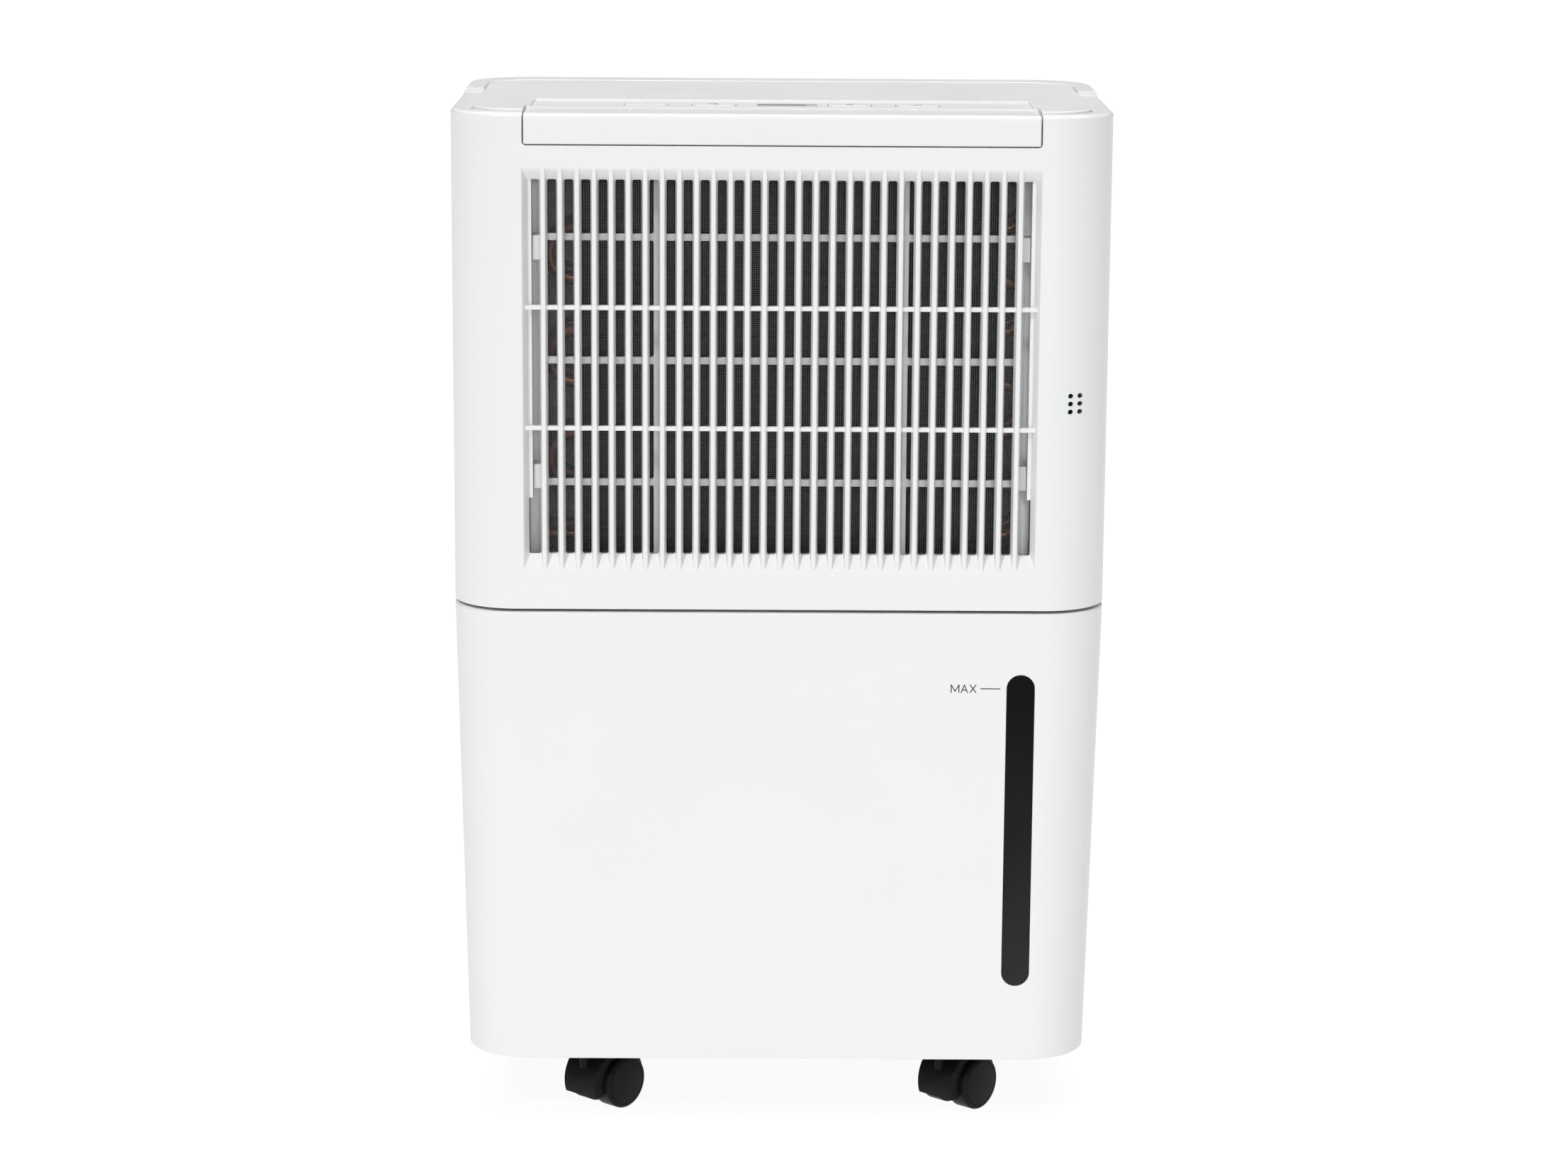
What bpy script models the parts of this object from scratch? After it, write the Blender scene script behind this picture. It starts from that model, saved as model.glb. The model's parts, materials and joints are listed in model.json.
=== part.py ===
"""Compressor dehumidifier: its filter lifts out of the top, its tank pulls out of the front.

The front faces -Y, the floor is at z = 0, and x = 0, y = 0 is the middle of the body.
Lengths in this file are millimetres; the mesh builders turn them into Blender's metres.
"""

import math

import bmesh
import bpy
from mathutils import Matrix, Vector

MM = 0.001

# Body
BODY_W = 320.0
BODY_D = 195.0
BODY_FOOT = 32.4
SEAM_Z = 262.3
SEAM_GAP = 0.7
RIM_Z = 504.0
REAR_RIM_Z = 505.6
CORNER_R = 31.0
WALL = 2.5
EDGE = 2.2
SIDE_DRAFT = 5.0
FRONT_DRAFT = 3.5
SHELL_SEAM_Y = 27.0
GAP = 0.3
FRONT = -BODY_D / 2
BACK = BODY_D / 2

# Top
PLATE_Z = 505.4
STRIP_Z = 504.5
PLATE_HALF = 149.5
PLATE_Y = (-90.0, 77.5)
PLATE_R = 22.0
FLANGE = 3.0
FLANGE_Z = (498.9, 501.2)
NOTCH_HALF = 124.0
NOTCH_BACK = -69.7
NOTCH_FLOOR = 488.6
STRIP_HALF = 121.0
STRIP_BACK = -35.0
KEY_Y = -52.5
KEY_SIZE = (21.0, 13.0)
KEYS = {"button_power": -66.0, "button_timer": -33.0, "button_humidity": 33.0, "button_mode": 66.0}
DISPLAY_X = 2.5
DISPLAY_SIZE = (28.4, 11.6)

# Front grille
GRILLE_OUTER = (124.3, 282.8, 477.8)
GRILLE_INNER = (121.8, 289.7, 472.1)
GRILLE_SLOPE = 5.0
GRILLE_BACK = -91.5
BARS = 29
BAR_PITCH = 8.16
BAR_W = 2.13
BAR_DRAFT = 0.88
RIB_Z = (351.9, 410.6)
RIB_H = 2.2
RIB_DEPTH = (2.3, 5.6)
FLANGE_RUN = (317.0, 474.0)

# Filter
FILTER_Y = (-77.4, -74.2)
FILTER_HALF = 122.2
FILTER_Z = (284.5, 499.4)
FILTER_RIB_Z = (322.4, 382.5, 442.7)
FILTER_RIB_X = 60.1

# Coils
ROWS = 8
ROW_PITCH = 25.42
ROW_Z = 292.9
CORE_X = (-98.0, 106.0)
CORE_Z = (284.0, 482.0)
EVAPORATOR_Y = -57.0
CONDENSER_Y = -31.0
CORE_DEPTH = 22.0
TUBE_R = 3.5
PIPE_END_X = -116.5

# Fan
FAN_X = 4.0
FAN_Z = 383.0
FAN_R = 84.0
BLADES = 7

# Tank
BUCKET_HALF = 146.0
BUCKET_Y = (-89.6, -14.0)
BUCKET_Z = (42.5, 228.0)
BUCKET_R = 24.0
LID_Z = 231.0
WINDOW_X = 118.5
WINDOW_Z = (71.4, 230.9)
WINDOW_W = 13.8
HANDLE_PIVOT = (-78.0, 235.0)
HANDLE_REACH = 24.0
FLOAT_PIVOT = (-26.0, 211.0)
INLET = (70.0, -40.0)

# Compressor
COMPRESSOR = (-82.0, 43.0)
COMPRESSOR_R = 47.0
ACCUMULATOR = (-138.0, 14.0)

# Casters
CASTER_X = 89.5
CASTER_Y = 68.0
CASTER_TURN = -42.0
TRAIL = 5.0
WHEEL_R = 13.5
WHEEL_X = (3.7, 15.4)
HOOD_HALF = 11.4
WHEEL_SIDES = 16
AXLE_R = 2.5

# Rear outlets
DRAIN = (95.0, 240.0)
GLAND = (-110.0, 60.0)
GRIP_HALF = 52.0
GRIP_Z = (474.0, 496.0)
GRIP_DEPTH = 23.0
LOUVRE_PITCH = 11
LOUVRE_H = 6.6


# ---------------------------------------------------------------- mesh builders


def clear_scene():
    for item in list(bpy.data.objects):
        bpy.data.objects.remove(item)


def material(name, color, roughness, metallic=0.0):
    made = bpy.data.materials.new(name)
    made.use_nodes = True
    shader = made.node_tree.nodes["Principled BSDF"]
    shader.inputs["Base Color"].default_value = (*color, 1.0)
    shader.inputs["Roughness"].default_value = roughness
    shader.inputs["Metallic"].default_value = metallic
    made.diffuse_color = (*color, 1.0)
    return made


def object_of(name, points, faces):
    """One mesh object from points in millimetres, with its faces turned outwards."""
    mesh = bpy.data.meshes.new(name)
    mesh.from_pydata([Vector(p) * MM for p in points], [], faces)
    work = bmesh.new()
    work.from_mesh(mesh)
    bmesh.ops.recalc_face_normals(work, faces=work.faces)
    work.to_mesh(mesh)
    work.free()
    made = bpy.data.objects.new(name, mesh)
    bpy.context.scene.collection.objects.link(made)
    return made


def boxes(name, bounds):
    """Separate boxes in one mesh, each given as ((x, x), (y, y), (z, z))."""
    points = []
    faces = []
    for xs, ys, zs in bounds:
        start = len(points)
        points += [(x, y, z) for z in zs for y in ys for x in xs]
        for quad in ((0, 1, 3, 2), (4, 6, 7, 5), (0, 4, 5, 1), (2, 3, 7, 6), (0, 2, 6, 4), (1, 5, 7, 3)):
            faces.append([start + corner for corner in quad])
    return object_of(name, points, faces)


def box(name, xs, ys, zs):
    return boxes(name, [(xs, ys, zs)])


def stack(name, rings):
    """A skin over rings of equal length, capped at both ends."""
    count = len(rings[0])
    points = [point for ring in rings for point in ring]
    faces = [tuple(range(count)), tuple(range(len(points) - count, len(points)))]
    for low in range(0, len(points) - count, count):
        for i in range(count):
            j = (i + 1) % count
            faces.append((low + i, low + j, low + count + j, low + count + i))
    return object_of(name, points, faces)


def rounded_rectangle(x0, x1, y0, y1, radius, steps=8):
    outline = []
    corners = ((x1 - radius, y0 + radius, -90), (x1 - radius, y1 - radius, 0),
               (x0 + radius, y1 - radius, 90), (x0 + radius, y0 + radius, 180))
    for cx, cy, start in corners:
        for step in range(steps + 1):
            angle = math.radians(start + 90 * step / steps)
            outline.append((cx + radius * math.cos(angle), cy + radius * math.sin(angle)))
    return outline


def grown(outline_of, amount, steps=3):
    """A rounded rectangle's values, moved outwards by an amount."""
    x0, x1, y0, y1, radius = outline_of
    return rounded_rectangle(x0 - amount, x1 + amount, y0 - amount, y1 + amount, radius + amount, steps)


def level_rings(*levels):
    """Rings at heights: each level is (z, outline)."""
    return [[(x, y, z) for x, y in outline] for z, outline in levels]


def circle(centre, axis, radius, steps):
    """A ring about a point, in the plane across the X, Y or Z axis."""
    across = {"X": (1, 2), "Y": (2, 0), "Z": (0, 1)}[axis]
    ring = []
    for step in range(steps):
        angle = 2 * math.pi * step / steps
        point = list(centre)
        point[across[0]] += radius * math.cos(angle)
        point[across[1]] += radius * math.sin(angle)
        ring.append(tuple(point))
    return ring


def turned(name, profile, centre, axis, steps=24):
    """A body turned about an axis through centre. The profile lists (distance along, radius)."""
    rings = []
    for along, radius in profile:
        middle = list(centre)
        middle["XYZ".index(axis)] += along
        rings.append(circle(middle, axis, radius, steps))
    return stack(name, rings)


def profile_along_x(name, outline, x0, x1):
    """An outline of (y, z) points pulled along X."""
    return stack(name, [[(x, y, z) for y, z in outline] for x in (x0, x1)])


def boolean(target, tool, operation):
    modifier = target.modifiers.new("shape", "BOOLEAN")
    modifier.operation = operation
    modifier.object = tool
    graph = bpy.context.evaluated_depsgraph_get()
    mesh = bpy.data.meshes.new_from_object(target.evaluated_get(graph))
    target.modifiers.clear()
    target.data = mesh
    bpy.data.objects.remove(tool)


def carve(target, *tools):
    for tool in tools:
        boolean(target, tool, "DIFFERENCE")


def fuse(target, *tools):
    for tool in tools:
        boolean(target, tool, "UNION")


def bent_path(points, radius, steps=3):
    """Straight runs through points, with each corner rounded by a curve that starts a radius away."""
    path = [Vector(points[0])]
    for before, corner, after in zip(points, points[1:], points[2:]):
        corner = Vector(corner)
        enter = corner + (Vector(before) - corner).normalized() * radius
        leave = corner + (Vector(after) - corner).normalized() * radius
        for step in range(steps + 1):
            t = step / steps
            path.append(enter * (1 - t) ** 2 + corner * 2 * t * (1 - t) + leave * t ** 2)
    path.append(Vector(points[-1]))
    return path


def pipe(name, path, radius, sides=6):
    """A round bar along a path: rings square to it, turned so that they don't twist."""
    path = [Vector(point) for point in path]
    rings = []
    side = None
    for i, point in enumerate(path):
        ahead = (path[min(i + 1, len(path) - 1)] - path[max(i - 1, 0)]).normalized()
        if side is None:
            side = ahead.orthogonal()
        side = (side - ahead * side.dot(ahead)).normalized()
        other = ahead.cross(side)
        angles = [2 * math.pi * step / sides for step in range(sides)]
        rings.append([tuple(point + (side * math.cos(a) + other * math.sin(a)) * radius) for a in angles])
    return stack(name, rings)


def node(made, look, pivot=None, smooth=30.0):
    """Finishes an object: its material, its shading and, on a moving piece, its origin on the joint."""
    made.data.materials.clear()
    made.data.materials.append(look)
    if pivot is not None:
        made.data.transform(Matrix.Translation(Vector(pivot) * -MM))
        made.location = Vector(pivot) * MM
    made.data.shade_smooth()
    made.data.set_sharp_from_angle(angle=math.radians(smooth))
    return made


# ---------------------------------------------------------------- outlines shared by several pieces


def lowness(z):
    """0 at the seam and above it, 1 at the foot of the body."""
    return max(0.0, (SEAM_Z - z) / (SEAM_Z - BODY_FOOT))


def front_face(z):
    return FRONT + FRONT_DRAFT * lowness(z)


def plan(z, inset=0.0):
    half = BODY_W / 2 - SIDE_DRAFT * lowness(z) - inset
    return rounded_rectangle(-half, half, front_face(z) + inset, BACK - inset, CORNER_R - inset)


def plate_outline(grow=0.0):
    return grown((-PLATE_HALF, PLATE_HALF, *PLATE_Y, PLATE_R), grow, 5)


def plate_opening():
    """The hole that the top plate stands in, cut from both shells."""
    outline = plate_outline(0.4)
    return stack("plate_opening", level_rings((RIM_Z - 5, outline), (RIM_Z + 9, outline)))


def slot_outline(width, low, high, steps=7):
    """A vertical slot with round ends, as (x, z) points."""
    radius = width / 2
    outline = []
    for centre_z, start in ((high - radius, 0), (low + radius, 180)):
        for step in range(steps + 1):
            angle = math.radians(start + 180 * step / steps)
            outline.append((WINDOW_X + radius * math.cos(angle), centre_z + radius * math.sin(angle)))
    return outline


def bar_edges():
    """The x of each bar's two sides, from left to right."""
    first = -BAR_PITCH * (BARS - 1) / 2
    middles = [first + BAR_PITCH * i for i in range(BARS)]
    return [(x - BAR_W / 2, x + BAR_W / 2) for x in middles]


# ---------------------------------------------------------------- shells


def grille_windows():
    """The tall spaces between the bars. Their outer ends slope back from the face, and the bars widen behind it."""
    edges = bar_edges()
    columns = [(None, edges[0][0])]
    columns += [(left[1], right[0]) for left, right in zip(edges, edges[1:])]
    columns += [(edges[-1][1], None)]
    outer_x, outer_low, outer_high = GRILLE_OUTER
    inner_x, inner_low, inner_high = GRILLE_INNER
    points = []
    faces = []
    for left, right in columns:
        start = len(points)
        for depth in (0.0, GRILLE_SLOPE, 14.0):
            t = min(depth / GRILLE_SLOPE, 1.0)
            taper = BAR_DRAFT * depth / (GRILLE_BACK - FRONT)
            side = outer_x + (inner_x - outer_x) * t
            x0 = -side if left is None else left + taper
            x1 = side if right is None else right - taper
            z0 = outer_low + (inner_low - outer_low) * t
            z1 = outer_high + (inner_high - outer_high) * t
            y = FRONT + (depth or -0.4)
            points += [(x, y, z) for x, z in ((x0, z0), (x1, z0), (x1, z1), (x0, z1))]
        for level in (0, 4):
            for i in range(4):
                j = (i + 1) % 4
                faces.append([start + level + k for k in (i, j, j + 4, i + 4)])
        faces.append([start + k for k in (3, 2, 1, 0)])
        faces.append([start + k for k in (8, 9, 10, 11)])
    return object_of("grille_windows", points, faces)


def grille_fittings():
    """The cross ribs, set back between the bars, and a narrow flange down each end of the opening."""
    front, back = (FRONT + depth for depth in RIB_DEPTH)
    pieces = [((-124, 124), (front, back), (z - RIB_H / 2, z + RIB_H / 2)) for z in RIB_Z]
    for side in (-1, 1):
        pieces.append((sorted((side * 120.0, side * 123.4)), (FRONT + 5.8, -87.5), FLANGE_RUN))
    return boxes("grille_fittings", pieces)


def corner_point(angle, radius):
    """A point on the front right corner's arc, turned by an angle from straight ahead."""
    centre_x = BODY_W / 2 - CORNER_R
    centre_y = FRONT + CORNER_R
    return centre_x + radius * math.sin(angle), centre_y - radius * math.cos(angle)


def sensor_holes():
    tools = []
    for angle in (math.radians(21.8), math.radians(31.5)):
        for row in (-1, 0, 1):
            z = 364.6 + 3.95 * row
            ends = [(*corner_point(angle, radius), z) for radius in (CORNER_R + 3, CORNER_R - WALL - 3)]
            tools.append(pipe("sensor_hole", ends, 1.2))
    return tools


def front_shell(look):
    rim = RIM_Z - EDGE
    shell = stack("front_shell", level_rings((SEAM_Z + GAP, plan(SEAM_Z)), (rim, plan(rim)),
                                             (RIM_Z - EDGE * 0.3, plan(rim, EDGE * 0.3)),
                                             (RIM_Z, plan(rim, EDGE))))
    inside = stack("inside", level_rings((SEAM_Z - 5, plan(SEAM_Z, WALL)),
                                         (RIM_Z - WALL, plan(rim, WALL))))
    behind = box("behind", (-200, 200), (SHELL_SEAM_Y - GAP / 2, 120), (200, 550))
    carve(shell, inside, behind)
    carve(shell, plate_opening())
    fuse(shell, box("grille_frame", (-127, 127), (FRONT + 1, GRILLE_BACK), (280, 481)))
    for side in (-1, 1):
        fuse(shell, box("guide", sorted((side * 122.9, side * 126)), (GRILLE_BACK - 1, -69.8), (283, 487)))
        fuse(shell, box("lip", sorted((side * 118.5, side * 124)), (-71.8, -69.8), (283, 487)))
    carve(shell, box("grip_notch", (-NOTCH_HALF, NOTCH_HALF), (FRONT - 5, NOTCH_BACK), (NOTCH_FLOOR, 520)))
    carve(shell, grille_windows(), *sensor_holes())
    fuse(shell, grille_fittings())
    return node(shell, look)


def louvre_slots():
    columns = ((-92, -2), (2, 92))
    rows = [(z, z + LOUVRE_H) for z in range(300, 460, LOUVRE_PITCH)]
    return boxes("louvre", [(column, (BACK - 12, BACK + 5), row) for column in columns for row in rows])


def rear_shell(look):
    rim = REAR_RIM_Z - EDGE
    shell = stack("rear_shell", level_rings((BODY_FOOT + 0.6, plan(BODY_FOOT)), (SEAM_Z, plan(SEAM_Z)),
                                            (rim, plan(rim)),
                                            (REAR_RIM_Z - EDGE * 0.3, plan(rim, EDGE * 0.3)),
                                            (REAR_RIM_Z, plan(rim, EDGE))))
    inside = stack("inside", level_rings((BODY_FOOT - 5, plan(BODY_FOOT, WALL)),
                                         (SEAM_Z, plan(SEAM_Z, WALL)),
                                         (REAR_RIM_Z - WALL, plan(rim, WALL))))
    ahead = box("ahead", (-200, 200), (-120, SHELL_SEAM_Y + GAP / 2), (0, 550))
    carve(shell, inside, ahead)
    carve(shell, plate_opening())
    low, high = GRIP_Z
    cup = (BACK - GRIP_DEPTH - WALL, BACK - 1)
    fuse(shell, box("grip_cup", (-GRIP_HALF - WALL, GRIP_HALF + WALL), cup, (low - WALL, high + WALL)))
    carve(shell, box("grip_hollow", (-GRIP_HALF, GRIP_HALF), (BACK - GRIP_DEPTH, BACK + 5), GRIP_Z))
    x, z = DRAIN
    fuse(shell, turned("drain_boss", [(-9, 14), (-1, 14)], (x, BACK, z), "Y"))
    carve(shell, turned("drain_seat", [(-3, 11.6), (5, 11.6)], (x, BACK, z), "Y"))
    carve(shell, turned("drain_bore", [(-12, 7), (5, 7)], (x, BACK, z), "Y"))
    x, z = GLAND
    carve(shell, turned("gland_hole", [(-12, 9.3), (5, 9.3)], (x, BACK, z), "Y"))
    carve(shell, louvre_slots())
    return node(shell, look)


def base_pan(look):
    pan = stack("base_pan", level_rings((36, rounded_rectangle(-151.3, 151.3, -90.4, 94.2, 27.4, 5)),
                                        (39.5, rounded_rectangle(-151.3, 151.3, -90.4, 94.2, 27.4, 5))))
    rails = [((x, x + 3), (-84, -12), (39, 42.2)) for x in (-126, -30, 27, 123)]
    fuse(pan, boxes("tank_rails", rails))
    for x in (-CASTER_X, CASTER_X):
        for y in (-CASTER_Y, CASTER_Y):
            fuse(pan, turned("socket", [(33.9, 9), (41.9, 9)], (x, y, 0), "Z", 10))
            carve(pan, turned("socket_bore", [(30, 4.5), (40.8, 4.5)], (x, y, 0), "Z", 8))
    return node(pan, look)


def chassis(look):
    """The deck under the coils and the wall behind the tank, moulded in one."""
    deck = stack("chassis", level_rings((264.5, plan(SEAM_Z, 3.3)), (267.5, plan(SEAM_Z, 3.3))))
    fuse(deck, box("bay_wall", (-150, 150), (-9, -6.5), (40, 266)))
    fuse(deck, boxes("tray_rails", [((-110, 110), (y, y + 3), (267, 268.6)) for y in (-68, -22)]))
    x, y = INLET
    carve(deck, turned("spout_hole", [(255, 8), (275, 8)], (x, y, 0), "Z", 16))
    carve(deck, box("pipe_slot", (-147, -84), (0, 66), (255, 275)))
    carve(deck, box("wire_slot", (90, 120), (20, 40), (255, 275)))
    return node(deck, look)


# ---------------------------------------------------------------- controls


def key_holes(grow, zs):
    half_x = KEY_SIZE[0] / 2 + grow
    half_y = KEY_SIZE[1] / 2 + grow
    ys = (KEY_Y - half_y, KEY_Y + half_y)
    return boxes("key_holes", [((x - half_x, x + half_x), ys, zs) for x in KEYS.values()])


def top_plate(look):
    plate = stack("top_plate", level_rings((FLANGE_Z[0], plate_outline(FLANGE)),
                                           (FLANGE_Z[1], plate_outline(FLANGE)),
                                           (FLANGE_Z[1], plate_outline()), (PLATE_Z - 0.6, plate_outline()),
                                           (PLATE_Z, plate_outline(-0.6))))
    carve(plate, box("grip_notch", (-NOTCH_HALF, NOTCH_HALF), (-120, NOTCH_BACK), (480, 520)))
    carve(plate, box("strip", (-STRIP_HALF, STRIP_HALF), (NOTCH_BACK - 2, STRIP_BACK), (STRIP_Z, 520)))
    carve(plate, key_holes(0.4, (480, 520)))
    half_x = DISPLAY_SIZE[0] / 2 + GAP
    half_y = DISPLAY_SIZE[1] / 2 + GAP
    carve(plate, box("display_hole", (DISPLAY_X - half_x, DISPLAY_X + half_x),
                     (KEY_Y - half_y, KEY_Y + half_y), (480, 520)))
    posts = [((x - 2.5, x + 2.5), (y - 2.5, y + 2.5), (488.3, 500)) for x in (-82, 82) for y in (-62, -34)]
    fuse(plate, boxes("board_posts", posts))
    return node(plate, look)


def button(name, x, look):
    half_x, half_y = KEY_SIZE[0] / 2, KEY_SIZE[1] / 2
    cap = (x - half_x, x + half_x, KEY_Y - half_y, KEY_Y + half_y, 3.0)
    plunger = (x - 2, x + 2, KEY_Y - 2, KEY_Y + 2, 1.0)
    rings = level_rings((494.4, grown(plunger, 0)), (497.0, grown(plunger, 0)), (497.0, grown(cap, 1.5)),
                        (498.6, grown(cap, 1.5)), (498.6, grown(cap, 0)), (504.9, grown(cap, 0)))
    return node(stack(name, rings), look, pivot=(x, KEY_Y, STRIP_Z))


def display_window(look):
    half_x, half_y = DISPLAY_SIZE[0] / 2, DISPLAY_SIZE[1] / 2
    pane = (DISPLAY_X - half_x, DISPLAY_X + half_x, KEY_Y - half_y, KEY_Y + half_y, 1.0)
    rings = level_rings((497.2, grown(pane, 2.0)), (498.6, grown(pane, 2.0)), (498.6, grown(pane, 0)),
                        (504.6, grown(pane, 0)))
    return node(stack("display_window", rings), look)


def control_board(look):
    board = box("control_board", (-85, 85), (-66, -30), (486.4, 488.0))
    switches = [((x - 3, x + 3), (KEY_Y - 3, KEY_Y + 3), (487.5, 493.0)) for x in KEYS.values()]
    fuse(board, boxes("switches", switches))
    fuse(board, box("display", (DISPLAY_X - 13, DISPLAY_X + 13), (KEY_Y - 5.5, KEY_Y + 5.5),
                    (487.5, 496.8)))
    return node(board, look)


def humidity_sensor(look):
    angle = math.radians(26.6)
    sensor = box("humidity_sensor", (-7, 7), (-1.5, 1.5), (357, 372))
    x, y = corner_point(angle, 21.0)
    sensor.data.transform(Matrix.Rotation(angle, 4, "Z"))
    sensor.data.transform(Matrix.Translation(Vector((x, y, 0)) * MM))
    return node(sensor, look)


# ---------------------------------------------------------------- filter


def filter_frame(look):
    frame = box("filter_frame", (-FILTER_HALF, FILTER_HALF), FILTER_Y, FILTER_Z)
    inner = FILTER_RIB_X - 1.7
    outer = FILTER_RIB_X + 1.7
    columns = ((-115, -outer), (-inner, inner), (outer, 115))
    lows = [286.8] + [z + 1.75 for z in FILTER_RIB_Z]
    highs = [z - 1.75 for z in FILTER_RIB_Z] + [474.0]
    cells = [(column, (-85, -65), row) for column in columns for row in zip(lows, highs)]
    carve(frame, boxes("cells", cells))
    for side in (-1, 1):
        edge = sorted((side * 115.2, side * 119.7))
        fuse(frame, boxes("tabs", [(edge, (-89.0, -76), (z - 6, z + 6)) for z in (327.2, 438.8)]))
    return node(frame, look, pivot=(0, FILTER_Y[0], FILTER_Z[0]))


def filter_mesh(look):
    back = FILTER_Y[1] + GAP
    return node(box("filter_mesh", (-117, 117), (back, back + 0.6), (285.6, 476)), look,
                pivot=(0, FILTER_Y[0], FILTER_Z[0]))


def filter_grip_bar(look):
    top = 503.9
    back = -70.2
    under = 501.4
    radius = 2.0
    nose = []
    for step in range(5):
        angle = math.radians(180 - 90 * step / 4)
        nose.append((FRONT + radius + radius * math.cos(angle), top - radius + radius * math.sin(angle)))
    web = (-73.9, -71.4)
    outline = [(FRONT, 489.2)] + nose
    outline += [(back, top), (back, under), (web[1], under), (web[1], 478.0)]
    outline += [(web[0], 478.0), (web[0], under)]
    outline += [(FRONT + WALL, under), (FRONT + WALL, 489.2)]
    bar = profile_along_x("filter_grip_bar", outline, -123.4, 123.4)
    carve(bar, boxes("web_ends", [((-130, -117.8), (-74.5, -70.5), (470, under - 0.01)),
                                  ((117.8, 130), (-74.5, -70.5), (470, under - 0.01))]))
    return node(bar, look, pivot=(0, FILTER_Y[0], FILTER_Z[0]))


# ---------------------------------------------------------------- coils and refrigerant circuit


def row_heights():
    return [ROW_Z + ROW_PITCH * row for row in range(ROWS)]


def serpentine(y, steps=4):
    """The tube's middle line: from the lower left end, through every row, to the upper left end."""
    left, right = CORE_X[0] - 2.5, CORE_X[1] + 2.5
    radius = ROW_PITCH / 2
    path = [(PIPE_END_X, y, ROW_Z)]
    heights = row_heights()
    for row, z in enumerate(heights[:-1]):
        outward = 1 if row % 2 == 0 else -1
        edge = right if row % 2 == 0 else left
        for step in range(steps + 1):
            angle = math.radians(-90 + 180 * step / steps)
            x = edge + outward * radius * math.cos(angle)
            path.append((x, y, z + radius + radius * math.sin(angle)))
    path.append((PIPE_END_X, y, heights[-1]))
    return path


def coil(name, y, fin_look, tube_look):
    core = box(name + "_core", CORE_X, (y - CORE_DEPTH / 2, y + CORE_DEPTH / 2), CORE_Z)
    for z in row_heights():
        ends = [(CORE_X[0] - 5, y, z), (CORE_X[1] + 5, y, z)]
        carve(core, pipe("tube_hole", ends, TUBE_R + 0.8, 6))
    node(core, fin_look)
    node(pipe(name + "_tube", serpentine(y), TUBE_R, 6), tube_look, smooth=70)


def coil_end_plate(name, x0, look):
    """One sheet plate holds the ends of both coils."""
    plate = box(name, (x0, x0 + 1.2), (-69.5, -18.5), (284, 486))
    for y in (EVAPORATOR_Y, CONDENSER_Y):
        for z in row_heights():
            carve(plate, pipe("tube_hole", [(x0 - 5, y, z), (x0 + 6, y, z)], TUBE_R + 0.8, 6))
    return node(plate, look)


def drip_tray(look):
    tray = box("drip_tray", (-116, 122), (-73, -12), (269, 282.7))
    carve(tray, box("well", (-114, 120), (-71, -14), (271, 290)))
    x, y = INLET
    fuse(tray, turned("spout", [(243, 6), (270, 6)], (x, y, 0), "Z", 16))
    carve(tray, turned("spout_bore", [(240, 4.4), (275, 4.4)], (x, y, 0), "Z", 16))
    return node(tray, look)


def compressor(look):
    x, y = COMPRESSOR
    r = COMPRESSOR_R
    profile = [(54.6, r * 0.55), (60, r * 0.86), (68, r * 0.985), (74, r), (178, r), (184, r * 0.985),
               (193, r * 0.86), (199, r * 0.55), (201, r * 0.2)]
    body = turned("compressor", profile, (x, y, 0), "Z", 18)
    fuse(body, turned("foot_plate", [(52.3, 45), (55.6, 45)], (x, y, 0), "Z", 18))
    fuse(body, turned("discharge_stub", [(190, 4.5), (207, 4.5)], (x + 22, y, 0), "Z", 12))
    fuse(body, box("terminal_cover", (x - 28, x - 4), (y - 14, y + 14), (190, 212)))
    return node(body, look)


def compressor_feet(look):
    x, y = COMPRESSOR
    for number, angle in enumerate((60, 180, 300), 1):
        foot_x = x + 38 * math.cos(math.radians(angle))
        foot_y = y + 38 * math.sin(math.radians(angle))
        profile = [(39.8, 7), (44, 7), (45.5, 5.4), (47, 7), (52, 7)]
        node(turned(f"compressor_foot_{number}", profile, (foot_x, foot_y, 0), "Z", 12), look)


def accumulator(look):
    profile = [(84, 4), (90, 4), (96, 12.5), (180, 12.5), (188, 5), (194, 5)]
    return node(turned("accumulator", profile, (*ACCUMULATOR, 0), "Z", 16), look)


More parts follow.
